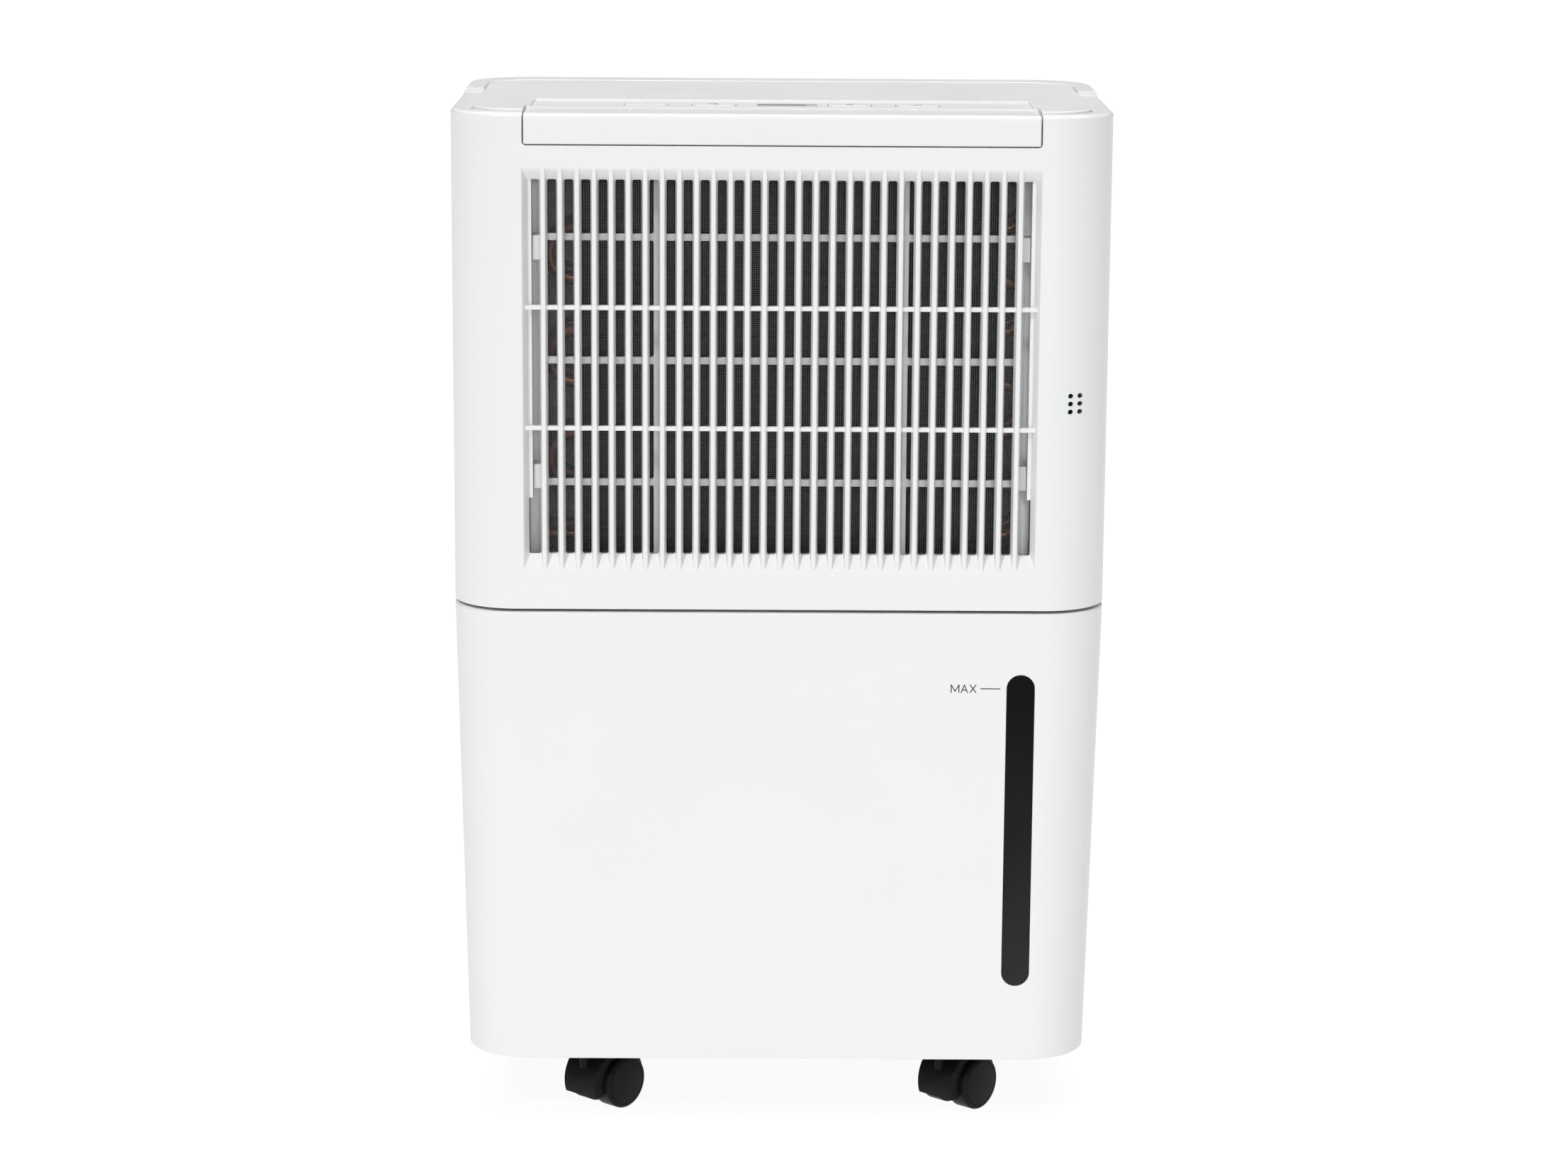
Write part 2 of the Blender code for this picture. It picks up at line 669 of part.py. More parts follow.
def refrigerant_pipes(look):
    """The liquid line is brazed up in one: its pipe, the drier and the capillary."""
    top = row_heights()[-1]
    start = PIPE_END_X - 0.4
    x, y = COMPRESSOR
    discharge = [(start, CONDENSER_Y, top), (-128, CONDENSER_Y, top), (-128, CONDENSER_Y, 420),
                 (-128, 20, 300), (-118, 46, 232), (x + 22, 43, 232), (x + 22, y, 207.4)]
    node(pipe("discharge_pipe", bent_path(discharge, 8), 3.0), look)
    ax, ay = ACCUMULATOR
    suction = [(start, EVAPORATOR_Y, top), (-138, EVAPORATOR_Y, top), (-138, EVAPORATOR_Y, 440),
               (-138, ay, 330), (ax, ay, 194.4)]
    node(pipe("suction_pipe", bent_path(suction, 8), 3.4), look)
    drier = [(300, 3.2), (306, 3.2), (312, 8), (350, 8), (356, 2.4), (360, 2.4)]
    line = turned("liquid_line", drier, (-130, CONDENSER_Y - 8, 0), "Z", 10)
    liquid = [(start, CONDENSER_Y, ROW_Z), (-130, CONDENSER_Y, ROW_Z), (-130, CONDENSER_Y - 8, ROW_Z),
              (-130, CONDENSER_Y - 8, 302)]
    capillary = [(-130, CONDENSER_Y - 8, 358), (-130, CONDENSER_Y - 8, 376), (-130, EVAPORATOR_Y, 376),
                 (-130, EVAPORATOR_Y, ROW_Z), (start, EVAPORATOR_Y, ROW_Z)]
    fuse(line, pipe("liquid", bent_path(liquid, 3), 2.6), pipe("capillary", bent_path(capillary, 6), 1.3))
    node(line, look)


# ---------------------------------------------------------------- fan


def fan_shroud(look):
    shroud = box("fan_shroud", (-118, 118), (-8, -5.5), (284, 486))
    centre = (FAN_X, 0, FAN_Z)
    fuse(shroud, turned("ring", [(-8, 90), (26, 90)], centre, "Y", 28))
    carve(shroud, turned("throat", [(-12, 90), (-6, 87.4), (-2, 86.4), (30, 86.4)], centre, "Y", 28))
    return node(shroud, look)


def blade(number):
    """One blade: sections from the hub outwards, each a thin plate set at its own pitch."""
    turn = 2 * math.pi * number / BLADES
    rings = []
    sections = ((16, 19, 52, 0), (38, 27, 42, 3), (62, 36, 33, 9), (FAN_R, 42, 27, 18))
    for radius, chord, pitch, sweep in sections:
        along = Vector((math.cos(math.radians(pitch)), math.sin(math.radians(pitch))))
        across = Vector((-along.y, along.x))
        ring = []
        for c, t in ((-0.5, -0.4), (0, -0.9), (0.5, -0.4), (0.5, 0.4), (0, 0.9), (-0.5, 0.4)):
            flat = along * (c * chord + sweep) + across * (t + 2.5 * (1 - 4 * c * c))
            angle = turn + flat.x / max(radius, 30)
            ring.append((FAN_X + radius * math.cos(angle), 10 + flat.y - sweep * along.y,
                         FAN_Z + radius * math.sin(angle)))
        rings.append(ring)
    return stack("blade", rings)


def fan_parts(wheel_look, steel, motor_look, bracket_look):
    centre = (FAN_X, 0, FAN_Z)
    pivot = (FAN_X, 10, FAN_Z)
    hub = turned("fan_wheel", [(-1, 16), (0.5, 20), (3, 21.5), (22, 21.5)], centre, "Y", 20)
    fuse(hub, *[blade(number) for number in range(BLADES)])
    carve(hub, turned("bore", [(2, 4.4), (30, 4.4)], centre, "Y", 12))
    node(hub, wheel_look, pivot)
    node(turned("fan_shaft", [(2.4, 4), (50, 4)], centre, "Y", 12), steel, pivot)
    can = [(28, 12), (32, 12), (32, 27), (34, 31), (62, 31), (66, 26)]
    motor = turned("fan_motor", can, centre, "Y", 20)
    carve(motor, turned("shaft_bore", [(20, 4.4), (51, 4.4)], centre, "Y", 12))
    node(motor, motor_look)
    bracket = turned("motor_bracket", [(35.5, 35), (50, 35)], centre, "Y", 20)
    for number in range(4):
        arm = box("arm", (33, 89.5), (36, 39), (-5, 5))
        foot = box("foot", (86.6, 89.9), (26.4, 38.5), (-5.4, 5.4))
        for piece in (arm, foot):
            piece.data.transform(Matrix.Rotation(math.radians(45 + 90 * number), 4, "Y"))
            piece.data.transform(Matrix.Translation(Vector(centre) * MM))
            fuse(bracket, piece)
    carve(bracket, turned("motor_seat", [(20, 32), (60, 32)], centre, "Y", 20))
    node(bracket, bracket_look)


# ---------------------------------------------------------------- tank


def tank_cover(look):
    top = SEAM_Z - SEAM_GAP
    cover = stack("tank_cover", level_rings((BODY_FOOT, plan(BODY_FOOT, 1.2)),
                                            (BODY_FOOT + 1.2, plan(BODY_FOOT)),
                                            (top - 0.9, plan(top)), (top, plan(top, 0.9))))
    inside = stack("inside", level_rings((BODY_FOOT - 5, plan(BODY_FOOT, WALL)),
                                         (top - WALL, plan(top, WALL))))
    behind = box("behind", (-200, 200), (SHELL_SEAM_Y - GAP / 2, 120), (0, 300))
    inner_half = BODY_W / 2 - WALL
    mouth = box("mouth", (-142, 142), (-82, -20), (250, 270))
    fuse(mouth, box("open_back", (-inner_half, inner_half), (-30, 60), (top - WALL - 1, 270)))
    slot = [[(x, y, z) for x, z in slot_outline(WINDOW_W, *WINDOW_Z)] for y in (FRONT - 5, FRONT + 12)]
    carve(cover, inside, behind, mouth, stack("window_slot", slot))
    return node(cover, look)


def level_window(look):
    """The lens follows the front's lean: a pane in the slot, and a wider lip behind the wall."""
    rings = []
    for grow, depth in ((-0.3, 0.4), (-0.3, 2.8), (2.4, 2.8), (2.4, 4.3)):
        low, high = WINDOW_Z
        outline = slot_outline(WINDOW_W + 2 * grow, low - grow, high + grow)
        rings.append([(x, front_face(z) + depth, z) for x, z in outline])
    return node(stack("level_window", rings), look)


def tank_bucket(look):
    y0, y1 = BUCKET_Y
    outer = rounded_rectangle(-BUCKET_HALF, BUCKET_HALF, y0, y1, BUCKET_R, 6)
    inner = rounded_rectangle(-BUCKET_HALF + 2, BUCKET_HALF - 2, y0 + 2, y1 - 2, BUCKET_R - 2, 6)
    low, high = BUCKET_Z
    rings = level_rings((low, outer), (high, outer), (high, inner), (low + 2, inner))
    return node(stack("tank_bucket", rings), look)


def lid_lugs():
    y, z = HANDLE_PIVOT
    lugs = [(sorted((side * 141.3, side * 144.8)), (y - 5, y + 5), (z - 5, z + 5)) for side in (-1, 1)]
    y, z = FLOAT_PIVOT
    lugs += [((x, x + 2), (y - 4, y + 4), (z - 4, 230)) for x in (96, 124)]
    return boxes("lugs", lugs)


def tank_lid(look):
    y0, y1 = BUCKET_Y
    edge = (-BUCKET_HALF + 0.5, BUCKET_HALF - 0.5, y0 + 0.5, y1 - 0.5, BUCKET_R - 0.5)
    lid = stack("tank_lid", level_rings((224, grown(edge, -2.0)), (228.4, grown(edge, -2.0)),
                                        (228.4, grown(edge, 0)), (LID_Z, grown(edge, 0))))
    carve(lid, stack("hollow", level_rings((220, grown(edge, -3.8)), (LID_Z - 2, grown(edge, -3.8)))))
    fuse(lid, lid_lugs())
    x, y = INLET
    carve(lid, box("inlet", (x - 14, x + 14), (y - 12, y + 12), (215, 240)))
    y, z = HANDLE_PIVOT
    carve(lid, pipe("handle_bore", [(-150, y, z), (150, y, z)], 2.4, 8))
    y, z = FLOAT_PIVOT
    carve(lid, pipe("float_bore", [(90, y, z), (130, y, z)], 2.1, 8))
    return node(lid, look)


def tank_handle(look):
    y, z = HANDLE_PIVOT
    end = y + HANDLE_REACH
    sides = [sorted((side * 135.6, side * 140.6)) for side in (-1, 1)]
    bail = boxes("tank_handle", [(xs, (y - 3, end + 3), (z - 2.6, z + 2.6)) for xs in sides])
    fuse(bail, pipe("grip", [(-138, end, z), (138, end, z)], 3.2, 8))
    for side in (-1, 1):
        fuse(bail, pipe("pin", [(side * 138, y, z), (side * 144.6, y, z)], 2.0, 8))
    return node(bail, look, pivot=(0, y, z))


def tank_float(look):
    y, z = FLOAT_PIVOT
    floater = box("tank_float", (99.5, 122.5), (y - 36, y - 5), (z - 7, z + 7))
    fuse(floater, box("arm", (99.5, 122.5), (y - 6, y + 2.6), (z - 2.6, z + 2.6)))
    fuse(floater, pipe("pins", [(97, y, z), (125, y, z)], 1.6, 8))
    return node(floater, look, pivot=(111, y, z))


# ---------------------------------------------------------------- casters


def at_caster(made, x, y):
    """Turns a caster piece to its resting direction and sets it on its swivel axis."""
    made.location = Vector((x, y, 0)) * MM
    made.rotation_euler.z = math.radians(CASTER_TURN)


def hood(name, look):
    """A fender over the wheels' treads with a web down to the axle and the swivel stem on top."""
    middle_y, middle_z, radius = 3.0, 14.0, 17.5
    arc = []
    for step in range(13):
        angle = math.radians(200 - 190 * step / 12)
        arc.append((middle_y + radius * math.cos(angle), middle_z + radius * math.sin(angle)))
    outline = arc + [(TRAIL + 5, 12.0), (TRAIL + 2, 8.6), (TRAIL - 2, 8.6), (TRAIL - 6, 8.0)]
    made = profile_along_x(name, outline, -HOOD_HALF, HOOD_HALF)
    for side in (-1, 1):
        clear = [(side * 3.2, WHEEL_R + 1.0), (side * 20, WHEEL_R + 1.0)]
        carve(made, turned("wheel_space", sorted(clear), (0, TRAIL, WHEEL_R), "X", 20))
    fuse(made, turned("stem", [(28, 4), (40.4, 4)], (0, 0, 0), "Z", 10))
    carve(made, pipe("axle_hole", [(-20, TRAIL, WHEEL_R), (20, TRAIL, WHEEL_R)], AXLE_R + 0.3, 10))
    return node(made, look)


def wheel(name, side, look):
    """A wheel with a domed outer face and a blind bore in its inner side. Its origin is on the axle."""
    inner, outer = WHEEL_X
    bore = AXLE_R + 0.4
    tread = [(inner, WHEEL_R), (outer - 1.8, WHEEL_R), (outer - 0.5, WHEEL_R - 1.4), (outer, WHEEL_R * 0.5)]
    profile = [(outer - 1.6, bore), (inner, bore)] + tread
    rings = [circle((side * along, 0, 0), "X", radius, WHEEL_SIDES) for along, radius in profile]
    return node(stack(name, rings), look)


def casters(hood_look, wheel_look, steel):
    places = {"front_left": (-1, -1), "front_right": (1, -1), "rear_left": (-1, 1), "rear_right": (1, 1)}
    for place, (side_x, side_y) in places.items():
        x = side_x * CASTER_X
        y = side_y * CASTER_Y
        at_caster(hood(f"caster_hood_{place}", hood_look), x, y)
        axle = pipe(f"caster_axle_{place}", [(-13.4, TRAIL, WHEEL_R), (13.4, TRAIL, WHEEL_R)], AXLE_R, 10)
        at_caster(node(axle, steel), x, y)
        turn = Matrix.Rotation(math.radians(CASTER_TURN), 4, "Z")
        axle_middle = Vector((x, y, 0)) + turn @ Vector((0, TRAIL, WHEEL_R))
        for end, side in (("a", -1), ("b", 1)):
            made = wheel(f"caster_wheel_{place}_{end}", side, wheel_look)
            made.location = axle_middle * MM
            made.rotation_euler.z = math.radians(CASTER_TURN)


# ---------------------------------------------------------------- rear fittings and electrics


def drain_plug(look):
    x, z = DRAIN
    profile = [(-8.4, 6.3), (-2.7, 6.6), (-2.7, 11.1), (-0.6, 11.1), (-0.2, 10.6)]
    return node(turned("drain_plug", profile, (x, BACK, z), "Y", 16), look, pivot=(x, BACK, z))


def cable_gland(look):
    x, z = GLAND
    bush = turned("cable_gland", [(-6, 8.8), (-0.1, 8.8)], (x, BACK, z), "Y", 16)
    carve(bush, turned("dimple", [(-3, 2.5), (2, 5)], (x, BACK, z), "Y", 10))
    return node(bush, look)


def electronics_box(look):
    outline = rounded_rectangle(20, 120, -6.2, 28, 4, 3)
    return node(stack("electronics_box", level_rings((130, outline), (216, outline))), look)


def build():
    clear_scene()
    white = material("white_shell", (0.86, 0.87, 0.87), 0.32)
    panel = material("light_grey_panel", (0.78, 0.79, 0.79), 0.35)
    inner_white = material("inner_white", (0.8, 0.8, 0.8), 0.5)
    black = material("black_plastic", (0.02, 0.02, 0.02), 0.55)
    smoke = material("smoke_lens", (0.03, 0.03, 0.035), 0.12)
    clear_plastic = material("bucket_plastic", (0.62, 0.66, 0.68), 0.25)
    mesh_grey = material("filter_netting", (0.12, 0.12, 0.12), 0.7)
    fin_blue = material("coated_fins", (0.03, 0.07, 0.1), 0.4, 0.4)
    fin_bare = material("bare_fins", (0.72, 0.73, 0.74), 0.35, 1.0)
    copper = material("copper", (0.72, 0.38, 0.24), 0.3, 1.0)
    steel = material("steel", (0.6, 0.6, 0.6), 0.35, 1.0)
    zinc = material("zinc_sheet", (0.55, 0.56, 0.57), 0.45, 1.0)
    dark_paint = material("dark_paint", (0.03, 0.03, 0.03), 0.4)
    rubber = material("rubber", (0.03, 0.03, 0.03), 0.85)
    board = material("circuit_board", (0.05, 0.2, 0.1), 0.5)
    lcd = material("display_pane", (0.35, 0.36, 0.36), 0.15)

    front_shell(white)
    rear_shell(white)
    base_pan(black)
    chassis(inner_white)
    top_plate(panel)
    for name, x in KEYS.items():
        button(name, x, panel)
    display_window(lcd)
    control_board(board)
    humidity_sensor(board)

    filter_frame(inner_white)
    filter_mesh(mesh_grey)
    filter_grip_bar(white)

    coil("evaporator", EVAPORATOR_Y, fin_blue, copper)
    coil("condenser", CONDENSER_Y, fin_bare, copper)
    coil_end_plate("coil_end_plate_left", CORE_X[0] - 1.5, zinc)
    coil_end_plate("coil_end_plate_right", CORE_X[1] + 0.3, zinc)
    drip_tray(inner_white)
    compressor(dark_paint)
    compressor_feet(rubber)
    accumulator(dark_paint)
    refrigerant_pipes(copper)
    fan_shroud(inner_white)
    fan_parts(black, steel, zinc, zinc)

    tank_cover(white)
    level_window(smoke)
    tank_bucket(clear_plastic)
    tank_lid(inner_white)
    tank_handle(inner_white)
    tank_float(inner_white)

    casters(black, black, steel)
    drain_plug(rubber)
    cable_gland(rubber)
    electronics_box(black)


build()
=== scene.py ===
"""The looks of a portable dehumidifier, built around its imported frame.

The front faces -Y and the floor is at z = 0. Lengths are millimetres until a mesh is made.
"""

import json
import math
import random

import bmesh
import bpy
from mathutils import Matrix, Vector


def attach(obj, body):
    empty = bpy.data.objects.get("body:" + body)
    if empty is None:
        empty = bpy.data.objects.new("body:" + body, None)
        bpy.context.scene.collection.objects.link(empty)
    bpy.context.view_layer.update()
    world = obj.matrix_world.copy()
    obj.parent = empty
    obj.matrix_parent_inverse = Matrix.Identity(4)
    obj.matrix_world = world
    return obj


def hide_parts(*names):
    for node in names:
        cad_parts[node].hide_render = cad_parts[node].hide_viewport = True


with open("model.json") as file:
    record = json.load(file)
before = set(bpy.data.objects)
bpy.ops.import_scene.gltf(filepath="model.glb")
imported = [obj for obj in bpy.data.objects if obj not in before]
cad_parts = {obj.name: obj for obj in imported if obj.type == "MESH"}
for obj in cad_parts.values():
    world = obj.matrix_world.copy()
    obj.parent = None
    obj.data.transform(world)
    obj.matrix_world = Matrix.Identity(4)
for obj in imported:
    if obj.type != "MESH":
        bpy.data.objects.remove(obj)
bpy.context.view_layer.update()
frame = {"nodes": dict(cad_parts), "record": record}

MM = 0.001

# Sizes shared by several pieces, as the frame has them. A HALF is half a width, or half of each side; other
# pairs run from the lower or inner value to the higher or outer one.

# The body and its shells.
BODY_W = 320.0
BODY_D = 195.0
BODY_FOOT = 32.4
SEAM_Z = 262.3
SEAM_GAP = 0.7
RIM_Z = 504.0
REAR_RIM_Z = 505.6
CORNER_R = 31.0
WALL = 2.5
RIM_R = 2.2
SIDE_DRAFT = 5.0
FRONT_DRAFT = 3.5
SHELL_SEAM_Y = 27.0
GAP = 0.3
FRONT = -BODY_D / 2
BACK = BODY_D / 2
CUTTER_X = (-200, 200)

# The top plate, its button strip and the notch that takes the grip bar.
PLATE_Z = 505.4
PLATE_FLANGE = (498.9, 501.2)
STRIP_Z = 504.5
STRIP_HALF = 121.0
STRIP_BACK = -35.0
PLATE_HALF = 149.5
PLATE_Y = (-90.0, 77.5)
PLATE_R = 22.0
NOTCH_HALF = 124.0
NOTCH_BACK = -69.7
NOTCH_FLOOR = 488.6
NOTCH_FRONT = -120
KEY_Y = -52.5
KEY_HALF = (10.5, 6.5)
KEY_TOP = 504.9
KEYS = {"button_power": -66.0, "button_timer": -33.0, "button_humidity": 33.0, "button_mode": 66.0}
DISPLAY_X = 2.5
DISPLAY_HALF = (14.2, 5.8)
DISPLAY_SPLIT = DISPLAY_X + 9.2
DISPLAY_TOP = 504.6
PRINT_RISE = 0.04

# The grille: its opening is (half width, low, high) at the face and behind the slope.
GRILLE_OUTER = (124.3, 282.8, 477.8)
GRILLE_INNER = (121.8, 289.7, 472.1)
GRILLE_SLOPE = 5.0
GRILLE_BACK = -91.5
BARS = 29
BAR_PITCH = 8.16
BAR_W = 2.13
BAR_DRAFT = 0.88
BAR_NOSE = 0.5
RIB_DEPTH = (2.3, 5.6)
RIB_Z = (351.9, 410.6)
RIB_H = 2.2
FLANGE_X = (120.0, 123.4)
FLANGE_RUN = (317.0, 474.0)
GUIDE_Y = (GRILLE_BACK - 1, -69.8)
GUIDE_RUN = (283, 487)
SENSOR_ANGLES = (21.8, 31.5)
SENSOR_Z = 365.05
SENSOR_PITCH = 3.88
SENSOR_R = 1.25

# The filter.
GRIP_BAR_HALF = 123.4
FILTER_BACK = -74.2
FILTER_ROWS = (322.4, 382.5, 442.7)
FILTER_COLUMN = 60.1
FILTER_RIB_HALF = (1.7, 1.75)
FILTER_TABS = (327.2, 438.8)
NET_HALF = 117
NET_LOW = 286
THREAD_PITCH = 1.05
THREAD_HALF = 0.14

# The coils.
ROWS = 8
ROW_PITCH = 25.42
ROW_Z = 292.9
EVAPORATOR_Y = -57.0
CONDENSER_Y = -31.0
CORE_DEPTH = 22.0
TUBE_R = 3.5
TUBE_END = -116.5
BEND_X = (-100.5, 108.5)
FIN_X = (-98.0, 106.0)
FIN_Z = (284, 482)
FIN_PITCH = 1.9
FIN_HALF = 0.1
FIN_REACH = 10.0

# The tank.
WINDOW_X = 118.5
WINDOW_Z = (71.4, 230.9)
WINDOW_W = 13.8
MARK_AT = (84.7, 222.1)

# The casters, as places about the body's middle and sizes about their own swivel.
CASTERS = {"front_left": (-89.5, -68.0), "front_right": (89.5, -68.0), "rear_left": (-89.5, 68.0),
           "rear_right": (89.5, 68.0)}
CASTER_TURN = math.radians(-42.0)
TRAIL = 5.0
WHEEL_R = 13.5
WHEEL_X = (3.7, 15.4)
HOOD_HALF = 11.4
AXLE_R = 2.5

# The back.
LOUVRE_X = 47.0
LOUVRE_HALF = (45.0, 3.3)
LOUVRE_ROWS = 15
LOUVRE_LOW = 303.3
LOUVRE_PITCH = 11.0
DRAIN = (95.0, 240.0)
GLAND = (-110.0, 60.0)
GRIP_HALF = 52.0
GRIP_Z = (474.0, 496.0)
GRIP_DEPTH = 23.0


# ---------------------------------------------------------------- mesh builders


def object_of(name, points, faces):
    mesh = bpy.data.meshes.new(name)
    mesh.from_pydata([Vector(p) * MM for p in points], [], faces)
    work = bmesh.new()
    work.from_mesh(mesh)
    bmesh.ops.recalc_face_normals(work, faces=work.faces)
    work.to_mesh(mesh)
    work.free()
    made = bpy.data.objects.new(name, mesh)
    bpy.context.scene.collection.objects.link(made)
    return made


def stack(name, rings):
    """A skin over rings of equal length, capped at both ends."""
    count = len(rings[0])
    points = [point for ring in rings for point in ring]
    faces = [tuple(range(count)), tuple(range(len(points) - count, len(points)))]
    for low in range(0, len(points) - count, count):
        for i in range(count):
            j = (i + 1) % count
            faces.append((low + i, low + j, low + count + j, low + count + i))
    return object_of(name, points, faces)


def boxes(name, bounds):
    """Separate boxes in one mesh, each given as ((x, x), (y, y), (z, z))."""
    points = []
    faces = []
    for xs, ys, zs in bounds:
        start = len(points)
        points += [(x, y, z) for z in zs for y in ys for x in xs]
        for quad in ((0, 1, 3, 2), (4, 6, 7, 5), (0, 4, 5, 1), (2, 3, 7, 6), (0, 2, 6, 4), (1, 5, 7, 3)):
            faces.append([start + corner for corner in quad])
    return object_of(name, points, faces)


def box(name, xs, ys, zs):
    return boxes(name, [(xs, ys, zs)])


def sided(side, pair):
    """A pair of sizes on the left (side -1) or on the right (side 1), lower one first."""
    return sorted(side * size for size in pair)


def merged(name, pieces):
    """One object from several."""
    mesh = bpy.data.meshes.new(name)
    work = bmesh.new()
    for piece in pieces:
        start = len(work.verts)
        work.from_mesh(piece.data)
        work.verts.ensure_lookup_table()
        for vert in work.verts[start:]:
            vert.co = piece.matrix_world @ vert.co
        bpy.data.objects.remove(piece)
    work.to_mesh(mesh)
    work.free()
    made = bpy.data.objects.new(name, mesh)
    bpy.context.scene.collection.objects.link(made)
    return made


def rounded_rectangle(x0, x1, y0, y1, radius, steps):
    """An outline in two axes, with this many steps round each corner."""
    outline = []
    corners = ((x1 - radius, y0 + radius, -90), (x1 - radius, y1 - radius, 0),
               (x0 + radius, y1 - radius, 90), (x0 + radius, y0 + radius, 180))
    for cx, cy, start in corners:
        for step in range(steps + 1):
            angle = math.radians(start + 90 * step / steps)
            outline.append((cx + radius * math.cos(angle), cy + radius * math.sin(angle)))
    return outline


def slot_outline(cx, cz, half_x, half_z, steps):
    """A rounded rectangle whose short ends are half circles, but for a hair that keeps its points apart."""
    radius = min(half_x, half_z)
    return rounded_rectangle(cx - half_x, cx + half_x, cz - half_z, cz + half_z, radius - 0.01, steps)


def level_rings(*levels):
    """Rings for stack() from levels of (z, outline in x and y)."""
    return [[(x, y, z) for x, y in outline] for z, outline in levels]


def quarter(radius, steps):
    """A quarter round as (along, aside) steps: from (0, radius) to (radius, 0)."""
    turns = [math.radians(90 * step / steps) for step in range(steps + 1)]
    return [(radius * (1 - math.cos(a)), radius * (1 - math.sin(a))) for a in turns]


def circle(centre, axis, radius, steps):
    """A ring of points round an axis through centre."""
    across = {"X": (1, 2), "Y": (2, 0), "Z": (0, 1)}[axis]
    ring = []
    for step in range(steps):
        angle = 2 * math.pi * step / steps
        point = list(centre)
        point[across[0]] += radius * math.cos(angle)
        point[across[1]] += radius * math.sin(angle)
        ring.append(tuple(point))
    return ring


def turned(name, profile, centre, axis, steps=48):
    """A body turned about an axis through centre. The profile lists (distance along, radius)."""
    rings = []
    for along, radius in profile:
        middle = list(centre)
        middle["XYZ".index(axis)] += along
        rings.append(circle(middle, axis, radius, steps))
    return stack(name, rings)


def pipe(name, path, radius, sides=14):
    """A round bar along a path, or a list of radii, one for each point."""
    path = [Vector(point) for point in path]
    radii = radius if isinstance(radius, list) else [radius] * len(path)
    rings = []
    side = None
    for i, point in enumerate(path):
        ahead = (path[min(i + 1, len(path) - 1)] - path[max(i - 1, 0)]).normalized()
        if side is None:
            side = ahead.orthogonal()
        side = (side - ahead * side.dot(ahead)).normalized()
        other = ahead.cross(side)
        angles = [2 * math.pi * step / sides for step in range(sides)]
        rings.append([tuple(point + (side * math.cos(a) + other * math.sin(a)) * radii[i]) for a in angles])
    return stack(name, rings)


def boolean(target, tool, operation):
    """Applies a Boolean at once and uses the tool up."""
    modifier = target.modifiers.new("shape", "BOOLEAN")
    modifier.operation = operation
    modifier.object = tool
    graph = bpy.context.evaluated_depsgraph_get()
    mesh = bpy.data.meshes.new_from_object(target.evaluated_get(graph))
    target.modifiers.clear()
    target.data = mesh
    bpy.data.objects.remove(tool)


def carve(target, *tools):
    for tool in tools:
        boolean(target, tool, "DIFFERENCE")


def fuse(target, *tools):
    for tool in tools:
        boolean(target, tool, "UNION")


def bevelled(made, width, segments=3):
    modifier = made.modifiers.new("soft_edges", "BEVEL")
    modifier.width = width * MM
    modifier.segments = segments
    modifier.limit_method = "ANGLE"
    modifier.angle_limit = math.radians(30)
    return made


def bevel_now(made, width, segments=3):
    """As bevelled(), with the modifier applied, for a piece that is merged or fused."""
    bevelled(made, width, segments)
    graph = bpy.context.evaluated_depsgraph_get()
    mesh = bpy.data.meshes.new_from_object(made.evaluated_get(graph))
    made.modifiers.clear()
    made.data = mesh
    return made


def finished(made, look, body, *nodes, slot=None, smooth=32.0):
    """Gives a piece its material and shading, its body, and the CAD nodes that it stands for."""
    made.data.materials.clear()
    made.data.materials.append(look)
    made.data.shade_smooth()
    made.data.set_sharp_from_angle(angle=math.radians(smooth))
    weighted = made.modifiers.new("face_normals", "WEIGHTED_NORMAL")
    weighted.keep_sharp = True
    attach(made, body)
    if nodes:
        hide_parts(*nodes)
    return made


# ---------------------------------------------------------------- outlines


def lowness(z):
    """0 at the seam and above, 1 at the foot: how far the tapering lower half has tapered."""
    return max(0.0, (SEAM_Z - z) / (SEAM_Z - BODY_FOOT))


def front_face(z):
    """Where the leaning front lies at a height."""
    return FRONT + FRONT_DRAFT * lowness(z)


def plan(z, inset=0.0):
    """The body's outline in x and y at a height."""
    half = BODY_W / 2 - SIDE_DRAFT * lowness(z) - inset
    return rounded_rectangle(-half, half, front_face(z) + inset, BACK - inset, CORNER_R - inset, 24)


def plate_outline(grow=0.0):
    """The top plate's outline in x and y."""
    half = PLATE_HALF + grow
    front, back = PLATE_Y
    return rounded_rectangle(-half, half, front - grow, back + grow, PLATE_R + grow, 16)


def bar_edges():
    """The left and right edge of each upright bar at the grille's face."""
    first = -BAR_PITCH * (BARS - 1) / 2
    middles = [first + BAR_PITCH * i for i in range(BARS)]
    return [(x - BAR_W / 2, x + BAR_W / 2) for x in middles]


def sunk_y(outline_of, face, far, flare):
    """A cutter that enters along Y from a face and leaves a rounded mouth.

    outline_of(grow) gives the outline in x and z.
    """
    ahead = 1 if far > face else -1
    levels = [(face - ahead * 4, flare)]
    levels += [(face + ahead * along, aside) for along, aside in quarter(flare, 4)]
    levels.append((far, 0.0))
    return stack("sunk", [[(x, y, z) for x, z in outline_of(grow)] for y, grow in levels])


# ---------------------------------------------------------------- shells


